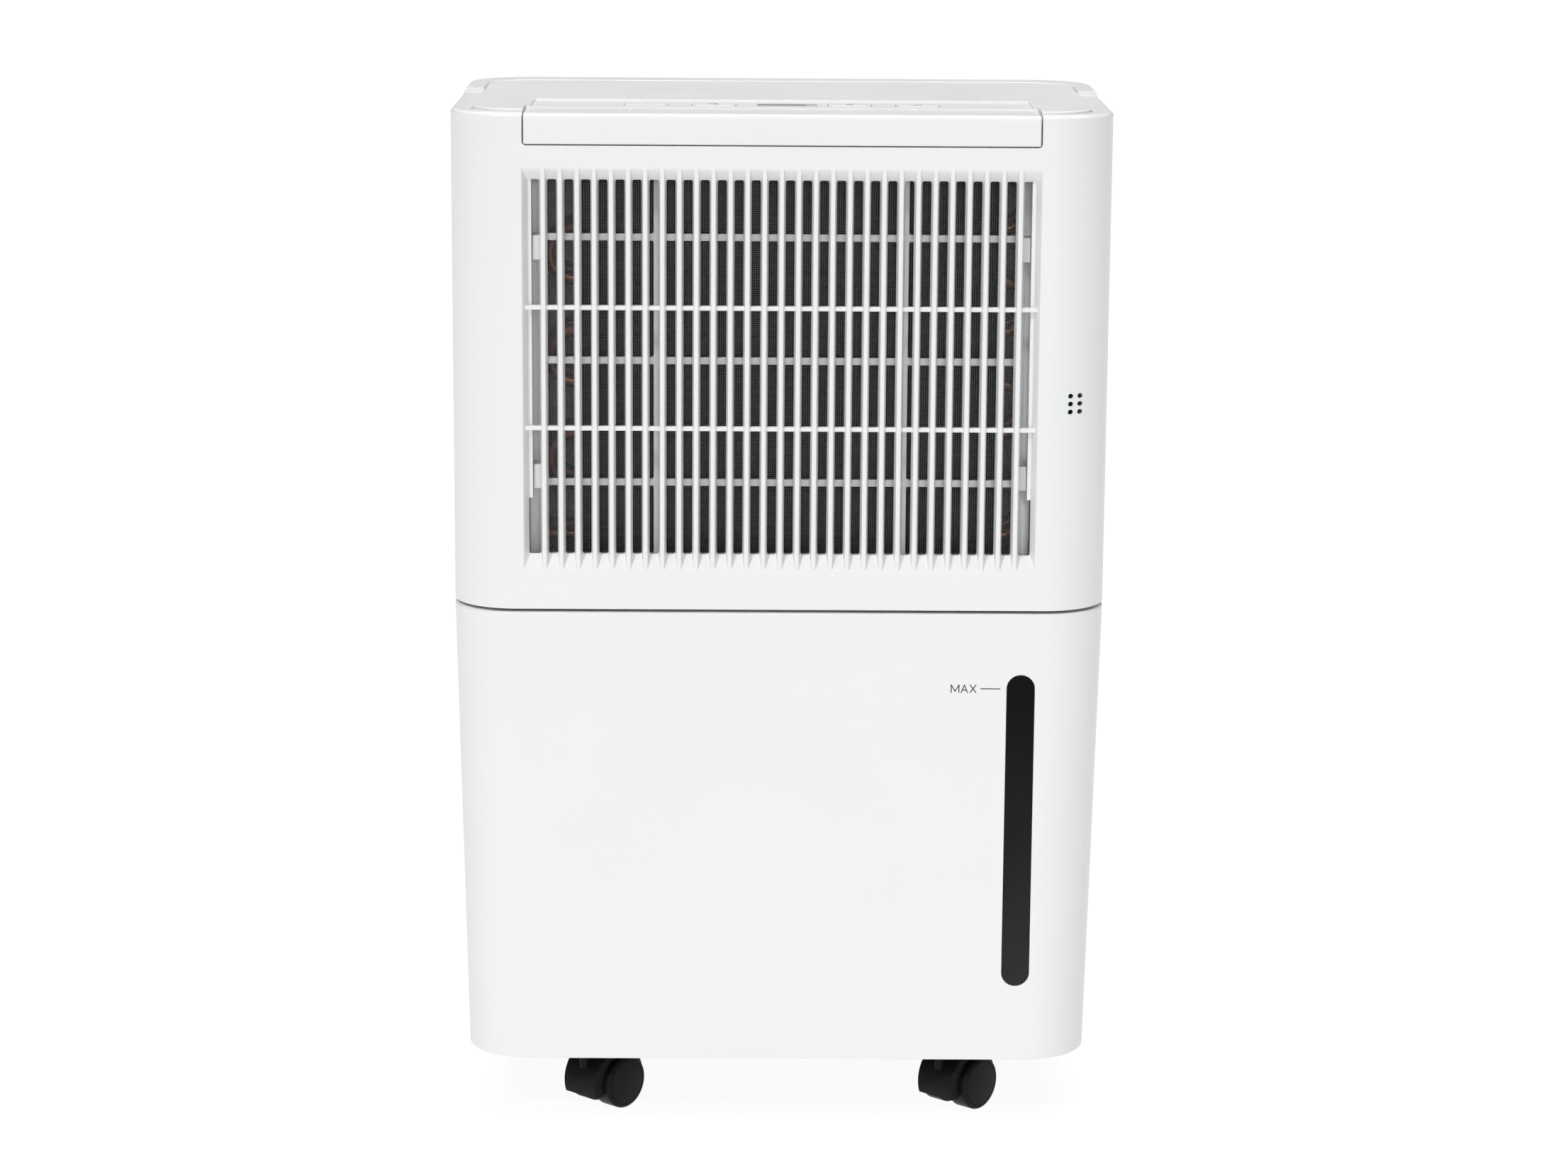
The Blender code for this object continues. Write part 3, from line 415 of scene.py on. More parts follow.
def grille_windows():
    """The tall spaces between the bars.

    Their mouths are rounded, their outer ends slope, and the bars widen behind the face.
    """
    edges = bar_edges()
    columns = [(None, edges[0][0])]
    columns += [(left[1], right[0]) for left, right in zip(edges, edges[1:])]
    columns += [(edges[-1][1], None)]
    outer_x, outer_low, outer_high = GRILLE_OUTER
    inner_x, inner_low, inner_high = GRILLE_INNER
    depths = [(-1.0, BAR_NOSE)] + quarter(BAR_NOSE, 5) + [(GRILLE_SLOPE, 0.0), (9.0, 0.0)]
    tools = []
    for left, right in columns:
        rings = []
        for depth, grow in depths:
            t = min(max(depth, 0.0) / GRILLE_SLOPE, 1.0)
            taper = BAR_DRAFT * max(depth, 0.0) / (GRILLE_BACK - FRONT)
            side = outer_x + (inner_x - outer_x) * t
            x0 = -side if left is None else left + taper
            x1 = side if right is None else right - taper
            z0 = outer_low + (inner_low - outer_low) * t
            z1 = outer_high + (inner_high - outer_high) * t
            corner = 0.3 + grow + 0.7 * t
            outline = rounded_rectangle(x0 - grow, x1 + grow, z0 - grow, z1 + grow, corner, 5)
            rings.append([(x, FRONT + depth, z) for x, z in outline])
        tools.append(stack("window", rings))
    return merged("windows", tools)


def grille_fittings():
    """The cross ribs, set back between the bars, and a narrow flange down each end of the opening."""
    front, back = (FRONT + depth for depth in RIB_DEPTH)
    ends = (-123.5, 123.5)
    pieces = []
    for z in RIB_Z:
        outline = rounded_rectangle(front, back, z - RIB_H / 2, z + RIB_H / 2, 0.45, 4)
        pieces.append(stack("cross_rib", [[(x, y, height) for y, height in outline] for x in ends]))
    for side in (-1, 1):
        flange = box("flange", sided(side, FLANGE_X), (FRONT + 5.8, -87.5), FLANGE_RUN)
        pieces.append(bevel_now(flange, 0.35, 2))
    return pieces


def corner_point(angle):
    """Where the body's right front corner faces this far round from the front."""
    centre_x = BODY_W / 2 - CORNER_R
    centre_y = FRONT + CORNER_R
    return centre_x + CORNER_R * math.sin(angle), centre_y - CORNER_R * math.cos(angle)


def sensor_holes():
    """Six holes through the right corner, bored straight back."""
    tools = []
    for angle in SENSOR_ANGLES:
        x, y = corner_point(math.radians(angle))
        for row in (-1, 0, 1):
            z = SENSOR_Z + SENSOR_PITCH * row
            path = [(x - 0.5, y - 3, z), (x - 0.5, y + WALL + 3, z)]
            tools.append(pipe("sensor_hole", path, SENSOR_R, 24))
    return tools


def rim_levels(rim_z, radius):
    """Levels up a wall and over its rounded rim."""
    low = rim_z - radius
    return [(low + radius - aside, plan(low, along)) for along, aside in quarter(radius, 8)]


def plate_opening(rim_z):
    """The hole for the top plate, with a softened upper edge."""
    levels = [(RIM_Z - 6, plate_outline(0.4))]
    levels += [(rim_z - aside, plate_outline(0.4 + along)) for along, aside in quarter(0.6, 4)]
    levels.append((rim_z + 5, plate_outline(1.0)))
    return stack("plate_opening", level_rings(*levels))


def notch_outline(grow):
    return rounded_rectangle(-NOTCH_HALF - grow, NOTCH_HALF + grow, NOTCH_FLOOR - grow, 530, 1.8, 6)


def front_casing(look):
    low = SEAM_Z + SEAM_GAP
    levels = [(low, plan(SEAM_Z, 0.7)), (low + 0.2, plan(SEAM_Z, 0.2)), (low + 0.7, plan(SEAM_Z))]
    shell = stack("front_casing", level_rings(*levels, *rim_levels(RIM_Z, RIM_R)))
    hollow = level_rings((SEAM_Z - 5, plan(SEAM_Z, WALL)), (RIM_Z - WALL, plan(RIM_Z, WALL)))
    behind = box("behind", CUTTER_X, (SHELL_SEAM_Y - GAP / 2, 120), (200, 550))
    carve(shell, stack("inside", hollow), behind, plate_opening(RIM_Z))
    fuse(shell, box("grille_frame", (-127, 127), (FRONT + 1, GRILLE_BACK), (280, 481)))
    for side in (-1, 1):
        fuse(shell, box("guide", sided(side, (122.9, 126)), GUIDE_Y, GUIDE_RUN))
        fuse(shell, box("lip", sided(side, (118.5, 124)), (-71.8, GUIDE_Y[1]), GUIDE_RUN))
    carve(shell, sunk_y(notch_outline, FRONT, NOTCH_BACK, 0.5), grille_windows(), *sensor_holes())
    fuse(shell, *grille_fittings())
    return finished(shell, look, "cabinet", "front_shell", slot="white_shell")


def louvre_slots():
    half_x, half_z = LOUVRE_HALF
    tools = []
    for column in (-1, 1):
        for row in range(LOUVRE_ROWS):

            def outline(grow, x=column * LOUVRE_X, z=LOUVRE_LOW + LOUVRE_PITCH * row):
                return slot_outline(x, z, half_x + grow, half_z + grow, 6)

            tools.append(sunk_y(outline, BACK, BACK - 12, 0.6))
    return merged("louvre", tools)


def rear_casing(look):
    levels = [(BODY_FOOT + 0.6, plan(BODY_FOOT, 1.2)), (BODY_FOOT + 0.9, plan(BODY_FOOT, 0.5)),
              (BODY_FOOT + 1.8, plan(BODY_FOOT)), (SEAM_Z, plan(SEAM_Z))]
    shell = stack("rear_casing", level_rings(*levels, *rim_levels(REAR_RIM_Z, RIM_R)))
    hollow = level_rings((BODY_FOOT - 5, plan(BODY_FOOT, WALL)), (SEAM_Z, plan(SEAM_Z, WALL)),
                         (REAR_RIM_Z - WALL, plan(RIM_Z, WALL)))
    ahead = box("ahead", CUTTER_X, (-120, SHELL_SEAM_Y + GAP / 2), (0, 550))
    carve(shell, stack("inside", hollow), ahead, plate_opening(REAR_RIM_Z))
    low, high = GRIP_Z
    cup_half = GRIP_HALF + WALL
    cup_depth = (BACK - GRIP_DEPTH - WALL, BACK - 1)
    fuse(shell, box("grip_cup", (-cup_half, cup_half), cup_depth, (low - WALL, high + WALL)))

    def grip_outline(grow):
        return rounded_rectangle(-GRIP_HALF - grow, GRIP_HALF + grow, low - grow, high + grow, 5.0 + grow, 8)

    carve(shell, sunk_y(grip_outline, BACK, BACK - GRIP_DEPTH, 1.0))
    x, z = DRAIN
    drain_seat = [(-3, 11.4), (-0.4, 11.4), (0.01, 11.9), (5, 11.9)]
    fuse(shell, turned("drain_boss", [(-9, 14), (-1, 14)], (x, BACK, z), "Y"))
    carve(shell, turned("drain_seat", drain_seat, (x, BACK, z), "Y"))
    carve(shell, turned("drain_bore", [(-12, 7), (5, 7)], (x, BACK, z), "Y"))
    x, z = GLAND
    carve(shell, turned("gland_hole", [(-12, 9.2), (5, 9.2)], (x, BACK, z), "Y"))
    carve(shell, louvre_slots())
    return finished(shell, look, "cabinet", "rear_shell", slot="white_shell")


# ---------------------------------------------------------------- top


def top_panel(look):
    """The plate, with the grip bar's notch, the sunk strip and the holes for the buttons and display."""
    under, over = PLATE_FLANGE
    levels = [(under, plate_outline(3.0)), (over, plate_outline(3.0)), (over, plate_outline())]
    levels += [(PLATE_Z - aside, plate_outline(-along)) for along, aside in quarter(0.9, 5)]
    panel = stack("top_panel", level_rings(*levels))
    low, high = 480, 520

    def notch(grow):
        return rounded_rectangle(-NOTCH_HALF, NOTCH_HALF, NOTCH_FRONT, NOTCH_BACK + grow, 1.0, 4)

    edge = [(low, 0.0), (STRIP_Z - 0.6, 0.0), (STRIP_Z - 0.2, 0.2), (STRIP_Z, 0.6), (high, 0.6)]
    carve(panel, stack("notch", level_rings(*[(z, notch(grow)) for z, grow in edge])))

    def strip(grow, radius):
        return rounded_rectangle(-STRIP_HALF - grow, STRIP_HALF + grow, NOTCH_BACK - 2.0, STRIP_BACK + grow,
                                 radius, 6)

    walls = [(PLATE_Z - aside, strip(along, 1.4)) for along, aside in quarter(0.6, 4)]
    carve(panel, stack("strip", level_rings((STRIP_Z, strip(0.0, 1.2)), *walls, (high, strip(0.6, 1.4)))))
    half_x, half_y = KEY_HALF
    holes = [("key_hole", x, half_x + 0.4, half_y + 0.4, 3.4, 8) for x in KEYS.values()]
    half_x, half_y = DISPLAY_HALF
    holes.append(("display_hole", DISPLAY_X, half_x + 0.3, half_y + 0.3, 1.4, 5))
    for name, x, half_x, half_y, radius, steps in holes:
        hole = rounded_rectangle(x - half_x, x + half_x, KEY_Y - half_y, KEY_Y + half_y, radius, steps)
        carve(panel, stack(name, level_rings((low, hole), (high, hole))))
    return finished(panel, look, "cabinet", "top_plate", slot="light_grey_panel")


def ribbon(points, width, z, rise=PRINT_RISE):
    """A flat printed line through (x, y) points, as thin boxes with round ends."""
    parts = []
    for (x0, y0), (x1, y1) in zip(points, points[1:]):
        length = math.hypot(x1 - x0, y1 - y0)
        turn = math.atan2(y1 - y0, x1 - x0)
        outline = []
        for end, start in ((length, -90), (0.0, 90)):
            for step in range(7):
                a = math.radians(start + 180 * step / 6)
                u = end + width / 2 * math.cos(a)
                v = width / 2 * math.sin(a)
                outline.append((x0 + u * math.cos(turn) - v * math.sin(turn),
                                y0 + u * math.sin(turn) + v * math.cos(turn)))
        parts.append(stack("stroke", level_rings((z - rise, outline), (z + rise, outline))))
    return parts


def arc(cx, cy, radius, start, end, steps=24):
    turns = [math.radians(start + (end - start) * step / steps) for step in range(steps + 1)]
    return [(cx + radius * math.cos(a), cy + radius * math.sin(a)) for a in turns]


def symbol_lines(name):
    """Each button's symbol: power, a clock, a drop and a fan of three arcs, about the button's middle."""
    if name == "button_power":
        return [arc(0, 0, 2.2, 125, 415), [(0, 0.6), (0, 3.0)]]
    if name == "button_timer":
        return [arc(0, 0, 2.4, 0, 360), [(0, 1.5), (0, 0), (1.2, -0.6)]]
    if name == "button_humidity":
        return [arc(0, -0.8, 1.7, 150, 390) + [(0, 2.8), (-1.47, 0.05)]]
    return [arc(1.3 * math.cos(a), 1.3 * math.sin(a), 1.3, math.degrees(a) - 80, math.degrees(a) + 80)
            for a in (math.radians(90), math.radians(210), math.radians(330))]


def keys(look, ink):
    """The four buttons, each a cap on a stem, with its symbol printed on the cap."""
    half_x, half_y = KEY_HALF
    for name, x in KEYS.items():

        def about(half_x, half_y, radius):
            return rounded_rectangle(x - half_x, x + half_x, KEY_Y - half_y, KEY_Y + half_y, radius, 8)

        def cap(grow):
            return about(half_x + grow, half_y + grow, 3.0 + grow)

        stem = about(2, 2, 1.0)
        levels = [(494.4, stem), (497.0, stem), (497.0, cap(1.5)), (498.6, cap(1.5)), (498.6, cap(0.0))]
        levels += [(KEY_TOP - aside, cap(-along)) for along, aside in quarter(0.5, 4)]
        key = stack(name + "_cap", level_rings(*levels))
        printed_at = KEY_TOP
        if name == "button_power":
            dish = [(2, 3.9), (0, 3.6), (-0.25, 3.0), (-0.35, 1.9)]
            rings = [(KEY_TOP + rise, about(radius + 1.3, radius + 0.1, radius)) for rise, radius in dish]
            carve(key, stack("dish", level_rings(*rings)))
            printed_at += dish[-1][0]
        finished(key, look, name, name, slot="light_grey_panel")
        lines = [[(x + u * 0.8, KEY_Y + v * 0.8) for u, v in line] for line in symbol_lines(name)]
        strokes = [stroke for line in lines for stroke in ribbon(line, 0.42, printed_at)]
        finished(merged(name + "_symbol", strokes), ink, name, slot="circuit_board")


def display(pane_look, led_look):
    """The display's pane and, at its right end, the narrow pane over the lights."""
    half_x, half_y = DISPLAY_HALF
    left, right = DISPLAY_X - half_x, DISPLAY_X + half_x

    def pane(grow, x0, x1):
        return rounded_rectangle(x0 - grow, x1 + grow, KEY_Y - half_y - grow, KEY_Y + half_y + grow, 1.0, 5)

    def upper(low, x0, x1):
        levels = ((low, 0), (DISPLAY_TOP - 0.2, 0), (DISPLAY_TOP, -0.2))
        return [(z, pane(grow, x0, x1)) for z, grow in levels]

    flange = [(z, pane(2.0, left, right)) for z in (497.2, 498.6)]
    made = stack("display_pane", level_rings(*flange, *upper(498.6, left, DISPLAY_SPLIT)))
    finished(made, pane_look, "cabinet", "display_window", slot="display_pane")
    made = stack("light_pane", level_rings(*upper(498.7, DISPLAY_SPLIT + 0.15, right)))
    finished(made, led_look, "cabinet", slot="light_grey_panel")


def grip_bar(look):
    """The L-shaped bar that lifts the filter, and the web under it that joins the filter."""
    top, back, under, bottom, nose_r = 503.9, -70.2, 501.4, 489.2, 2.2
    nose = [(FRONT + nose_r + u, top - nose_r + v) for u, v in arc(0, 0, nose_r, 180, 90, 8)]
    outline = [(FRONT, bottom)] + nose
    outline += [(back, top), (back, under), (FRONT + WALL, under), (FRONT + WALL, bottom)]
    ends = (-GRIP_BAR_HALF, GRIP_BAR_HALF)
    bar = stack("grip_bar", [[(x, y, z) for y, z in outline] for x in ends])
    bevelled(bar, 0.8, 4)
    finished(bar, look, "filter", "filter_grip_bar", slot="white_shell", smooth=40)
    web = box("grip_web", (-117.8, 117.8), (-73.9, -71.4), (478.0, 501.7))
    finished(bevelled(web, 0.3, 2), look, "filter", slot="white_shell")


# ---------------------------------------------------------------- filter and coils


def filter_parts(frame_look, net_look):
    """The filter's frame, the ribs and tabs that stand out from it, and a net of crossing threads."""
    plate = box("filter_rails", (-122.2, 122.2), (-76.3, FILTER_BACK), (284.5, 499.4))
    rib_x, rib_z = FILTER_RIB_HALF
    columns = ((-115, -FILTER_COLUMN - rib_x), (-FILTER_COLUMN + rib_x, FILTER_COLUMN - rib_x),
               (FILTER_COLUMN + rib_x, 115))
    lows = [286.8] + [z + rib_z for z in FILTER_ROWS]
    highs = [z - rib_z for z in FILTER_ROWS] + [474.0]
    cells = []
    for x0, x1 in columns:
        for z0, z1 in zip(lows, highs):
            outline = rounded_rectangle(x0, x1, z0, z1, 1.2, 4)
            cells.append(stack("cell", [[(x, y, z) for x, z in outline] for y in (-85, -65)]))
    carve(plate, merged("cells", cells))
    finished(plate, frame_look, "filter", "filter_frame", slot="inner_white")
    ribs = [((-115.5, 115.5), (-77.4, FILTER_BACK), (z - rib_z, z + rib_z)) for z in FILTER_ROWS]
    for x in (-FILTER_COLUMN, FILTER_COLUMN):
        ribs.append(((x - rib_x, x + rib_x), (-77.2, FILTER_BACK), (NET_LOW, 475.5)))
    for side in (-1, 1):
        for z in FILTER_TABS:
            ribs.append((sided(side, (115.2, 119.7)), (-89.0, -76), (z - 6.0, z + 6.0)))
    for side in (-1, 1):
        ribs.append((sided(side, (117.6, 118.3)), (-76.9, -76), (NET_LOW, 497)))
    finished(bevelled(boxes("filter_ribs", ribs), 0.35, 3), frame_look, "filter", slot="inner_white")
    threads = []
    for i in range(int(2 * NET_HALF / THREAD_PITCH)):
        x = -NET_HALF + THREAD_PITCH * (i + 0.5)
        threads.append(((x - THREAD_HALF, x + THREAD_HALF), (-73.9, -73.62), (NET_LOW - 0.4, 476)))
    for i in range(int((476 - NET_LOW) / THREAD_PITCH)):
        z = NET_LOW + THREAD_PITCH * (i + 0.5)
        threads.append(((-NET_HALF, NET_HALF), (-73.7, -73.4), (z - THREAD_HALF, z + THREAD_HALF)))
    finished(boxes("filter_net", threads), net_look, "filter", "filter_mesh", slot="filter_netting")


def row_heights():
    """The height of each of the coils' tube rows."""
    return [ROW_Z + ROW_PITCH * row for row in range(ROWS)]


def fin_block(name, y, fin_look, node, slot):
    """Thin plates in front of a solid core, with a collar round the tube at each row."""
    random.seed(7)
    x0, x1 = FIN_X
    front, back = y - CORE_DEPTH / 2, y + CORE_DEPTH / 2
    parts = []
    for i in range(int((x1 - x0) / FIN_PITCH) + 1):
        x = x0 + 0.15 + FIN_PITCH * i + random.uniform(-0.22, 0.22)
        x = min(max(x, x0 + FIN_HALF), x1 - FIN_HALF)
        parts.append(((x - FIN_HALF, x + FIN_HALF), (front, front + FIN_REACH + 2), FIN_Z))
    parts.append(((x0, x1), (front + FIN_REACH, back), FIN_Z))
    finished(boxes(name, parts), fin_look, "cabinet", node, slot=slot)
    ends = (x0 + 0.1, x1 - 0.1)
    collars = [pipe("collar", [(x, y, z) for x in ends], TUBE_R + 1.4, 16) for z in row_heights()]
    finished(merged(name + "_collars", collars), fin_look, "cabinet", slot=slot)


def coil_tube(name, y, look, node):
    """One tube that runs to and fro through a fin block, with a half round bend at each end of a row."""
    steps = 12
    left, right = BEND_X
    radius = ROW_PITCH / 2
    heights = row_heights()
    path = [(TUBE_END, y, ROW_Z)]
    for row, z in enumerate(heights[:-1]):
        outward, edge = (1, right) if row % 2 == 0 else (-1, left)
        for step in range(steps + 1):
            angle = math.radians(-90 + 180 * step / steps)
            path.append((edge + outward * radius * math.cos(angle), y, z + radius + radius * math.sin(angle)))
    path.append((TUBE_END, y, heights[-1]))
    finished(pipe(name, path, TUBE_R), look, "cabinet", node, slot="copper")


# ---------------------------------------------------------------- tank


def slot_rings(*depths):
    """Rings of the level window's outline, each (depth behind the leaning front, growth)."""
    low, high = WINDOW_Z
    middle, half_z = (low + high) / 2, (high - low) / 2
    rings = []
    for depth, grow in depths:
        outline = slot_outline(WINDOW_X, middle, WINDOW_W / 2 + grow, half_z + grow, 16)
        rings.append([(x, front_face(z) + depth, z) for x, z in outline])
    return rings


def tank_front(look):
    """The tank's front: a tapering shell that is open at its back, over the bucket, and at the window."""
    top = SEAM_Z - SEAM_GAP
    levels = [(BODY_FOOT, plan(BODY_FOOT, 1.5))]
    levels += [(BODY_FOOT + along, plan(BODY_FOOT, aside)) for along, aside in quarter(1.5, 5)][1:]
    levels += [(top - aside, plan(top, along)) for along, aside in quarter(1.1, 5)]
    cover = stack("tank_front", level_rings(*levels))
    hollow = level_rings((BODY_FOOT - 5, plan(BODY_FOOT, WALL)), (top - WALL, plan(top, WALL)))
    behind = box("behind", CUTTER_X, (SHELL_SEAM_Y - GAP / 2, 120), (0, 300))
    inner_half = BODY_W / 2 - WALL
    mouth = box("mouth", (-142, 142), (-82, -20), (250, 270))
    fuse(mouth, box("open_back", (-inner_half, inner_half), (-30, 60), (top - WALL - 1, 270)))
    window = stack("window_slot", slot_rings((-5, 0.35), *quarter(0.35, 3), (12, 0.0)))
    carve(cover, stack("inside", hollow), behind, mouth, window)
    finished(cover, look, "tank", "tank_cover", slot="white_shell")


def level_lens(look):
    rings = slot_rings((0.45, -0.55), (0.55, -0.3), (2.8, -0.3), (2.8, 2.4), (4.3, 2.4))
    finished(stack("level_lens", rings), look, "tank", "level_window", slot="smoke_lens")


def level_mark(ink):
    """MAX and its line, printed on the leaning front."""
    letters = [
        [(-0.3, 0.0), (-0.3, 3.8), (1.6, 0.6), (3.5, 3.8), (3.5, 0.0)],
        [(4.6, 0.0), (6.15, 3.8), (7.7, 0.0)], [(5.1, 1.25), (7.2, 1.25)],
        [(9.0, 0.0), (11.8, 3.8)], [(11.8, 0.0), (9.0, 3.8)],
        [(14.2, 1.9), (23.6, 1.9)],
    ]
    left, low = MARK_AT
    parts = []
    for line in letters:
        for piece in ribbon([(x + left, z) for x, z in line], 0.5, 0.0, 0.03):
            for vert in piece.data.vertices:
                x, up, out = vert.co / MM
                vert.co = Vector((x, front_face(up + low) - out - 0.01, up + low)) * MM
            parts.append(piece)
    finished(merged("level_mark", parts), ink, "tank", slot="circuit_board")


def bucket(look):
    """The open bucket, 2 mm thick, with rounded corners all round."""
    half, y0, y1 = 146.0, -89.6, -14.0
    low, high = 42.5, 228.0

    def outline(grow):
        return rounded_rectangle(-half - grow, half + grow, y0 - grow, y1 + grow, 24.0 + grow, 12)

    outside = [(low + along, outline(-aside)) for along, aside in quarter(5.0, 6)]
    outside += [(high - 6, outline(0)), (high - 0.6, outline(0))]
    lip = [(high, outline(-0.5)), (high, outline(-1.5))]
    hollow = [(high - 0.6, outline(-2.0)), (low + 7, outline(-2.0)), (low + 3.5, outline(-3.5)),
              (low + 2, outline(-7.0))]
    made = stack("bucket", level_rings(*outside, *lip, *hollow))
    finished(made, look, "tank", "tank_bucket", slot="bucket_plastic")


def bail(look):
    """The tank's carrying bar, lying back, with an arm and a hinge pin at each end."""
    y, z, reach = -78.0, 235.0, 24.0
    parts = []
    for side in (-1, 1):
        arm = box("arm", sided(side, (135.6, 140.6)), (y - 3, y + reach + 3), (z - 2.6, z + 2.6))
        parts.append(bevel_now(arm, 1.2))
        parts.append(pipe("pin", [(side * 137, y, z), (side * 144.6, y, z)], 2.0, 16))
    parts.append(pipe("bar", [(-138, y + reach, z), (138, y + reach, z)], 3.2, 20))
    finished(merged("bail", parts), look, "tank_handle", "tank_handle", slot="inner_white")


# ---------------------------------------------------------------- casters


def hood_outline(inset):
    """The hood's side view as (y, z) about the swivel, moved inwards by inset."""
    points = arc(3.0, 14.0, 17.5 - inset, 200, 10, 40)
    points += [(TRAIL + 5 - inset, 12.0 + inset), (TRAIL + 2, 8.6 + inset), (TRAIL - 2, 8.6 + inset),
               (TRAIL - 6, 8.0 + inset)]
    return points


def hood(name):
    """The hood over a pair of wheels, with their two spaces, the collar and the stem that it swivels on."""
    edge = [(HOOD_HALF - aside, along) for along, aside in reversed(quarter(1.3, 5))]
    sections = sorted([(-x, inset) for x, inset in edge] + edge)
    made = stack(name, [[(x, y, z) for y, z in hood_outline(inset)] for x, inset in sections])
    for side in (-1, 1):
        clear = [(x, WHEEL_R + 1.0) for x in sided(side, (3.2, 20))]
        carve(made, turned("wheel_space", clear, (0, TRAIL, WHEEL_R), "X", 64))
    fuse(made, turned("boss", [(22.0, 1.4), (22.6, 2.4), (31.0, 2.7)], (1.2, -12.0, 0), "Z", 24))
    fuse(made, turned("collar", [(28, 8.2), (32.4, 8.2), (33.2, 7.4)], (0, 0, 0), "Z", 32))
    fuse(made, turned("stem", [(28, 4), (40.4, 4)], (0, 0, 0), "Z", 24))
    carve(made, pipe("axle_hole", [(-20, TRAIL, WHEEL_R), (20, TRAIL, WHEEL_R)], AXLE_R + 0.3, 20))
    return made


def wheel(name, side):
    """A wheel about its own middle: soft tread edges, a domed disc with a fine ring line, a blind bore."""
    inner, outer = WHEEL_X
    bore = AXLE_R + 0.4
    profile = [(outer - 1.6, bore), (inner, bore), (inner, WHEEL_R - 0.6), (inner + 0.6, WHEEL_R)]
    turns = [math.radians(15 * step) for step in range(6)]
    profile += [(outer - 2.4 + 1.5 * math.sin(a), WHEEL_R - 1.5 * (1 - math.cos(a))) for a in turns]
    rim = WHEEL_R - 1.9
    disc = rim - 0.46
    profile += [(outer - 0.75, rim), (outer - 0.95, rim - 0.12), (outer - 0.95, rim - 0.34)]
    profile.append((outer - 0.7, disc))
    profile += [(outer - 0.7 + 0.7 * (1 - (r / disc) ** 2), r) for r in (9.6, 7.4, 5.0, 2.4, 0.6)]
    return stack(name, [circle((side * along, 0, 0), "X", radius, 64) for along, radius in profile])


def casters(hood_look, wheel_look, steel):
    """Four casters, turned the same way: a hood and its axle that swivel, and two wheels that roll on it."""
    turn = Matrix.Rotation(CASTER_TURN, 4, "Z")
    hub = (0, TRAIL, WHEEL_R)
    ends = [(-13.4, AXLE_R - 0.4), (-13.0, AXLE_R), (13.0, AXLE_R), (13.4, AXLE_R - 0.4)]
    for place, (x, y) in CASTERS.items():
        swivel = f"swivel_{place}"
        at = Vector((x, y, 0))
        made = hood(f"hood_{place}")
        made.data.transform(Matrix.Translation(at * MM) @ turn)
        finished(made, hood_look, swivel, f"caster_hood_{place}", slot="black_plastic")
        axle = turned(f"axle_{place}", ends, hub, "X", 24)
        axle.data.transform(Matrix.Translation(at * MM) @ turn)
        finished(axle, steel, swivel, f"caster_axle_{place}", slot="steel")
        middle = at + turn @ Vector(hub)
        for end, side in (("a", -1), ("b", 1)):
            name = f"wheel_{place}_{end}"
            made = wheel(name, side)
            made.data.transform(Matrix.Translation(middle * MM) @ turn)
            finished(made, wheel_look, name, "caster_" + name, slot="black_plastic")


# ---------------------------------------------------------------- materials


def surface(name, color, roughness, metallic=0.0, grain=900.0, bump=0.05, mottle=0.02, patch=30.0,
            stretch=(1.0, 1.0, 1.0), **constants):
    """A moulded or metal surface: cloudy colour and gloss at one scale, a fine grain in relief at another.

    mottle is how much the colour varies, patch and grain are the scales of the clouds and of the relief, and
    constants are further values for the shader's own sockets.
    """
    spread = 0.04
    made = bpy.data.materials.new(name)
    made.use_nodes = True
    tree = made.node_tree
    shader = tree.nodes["Principled BSDF"]
    shader.inputs["Metallic"].default_value = metallic
    for socket, value in constants.items():
        shader.inputs[socket.replace("_", " ")].default_value = value
    coordinates = tree.nodes.new("ShaderNodeTexCoord")
    mapping = tree.nodes.new("ShaderNodeMapping")
    mapping.inputs["Scale"].default_value = stretch
    tree.links.new(coordinates.outputs["Object"], mapping.inputs["Vector"])
    clouds = tree.nodes.new("ShaderNodeTexNoise")
    clouds.inputs["Scale"].default_value = patch
    clouds.inputs["Detail"].default_value = 3.0
    tree.links.new(mapping.outputs["Vector"], clouds.inputs["Vector"])
    tone = tree.nodes.new("ShaderNodeValToRGB")
    tone.color_ramp.elements[0].position = 0.3
    tone.color_ramp.elements[1].position = 0.7
    tone.color_ramp.elements[0].color = (*[c * (1 - mottle) for c in color], 1.0)
    tone.color_ramp.elements[1].color = (*[min(c * (1 + mottle), 1.0) for c in color], 1.0)
    tree.links.new(clouds.outputs["Fac"], tone.inputs["Fac"])
    tree.links.new(tone.outputs["Color"], shader.inputs["Base Color"])
    gloss = tree.nodes.new("ShaderNodeMapRange")
    gloss.inputs["To Min"].default_value = roughness - spread
    gloss.inputs["To Max"].default_value = roughness + spread
    tree.links.new(clouds.outputs["Fac"], gloss.inputs["Value"])
    tree.links.new(gloss.outputs["Result"], shader.inputs["Roughness"])
    fine = tree.nodes.new("ShaderNodeTexNoise")
    fine.inputs["Scale"].default_value = grain
    fine.inputs["Detail"].default_value = 2.0
    tree.links.new(mapping.outputs["Vector"], fine.inputs["Vector"])
    relief = tree.nodes.new("ShaderNodeBump")
    relief.inputs["Strength"].default_value = bump
    relief.inputs["Distance"].default_value = 0.0004
    tree.links.new(fine.outputs["Fac"], relief.inputs["Height"])
    tree.links.new(relief.outputs["Normal"], shader.inputs["Normal"])
    return made


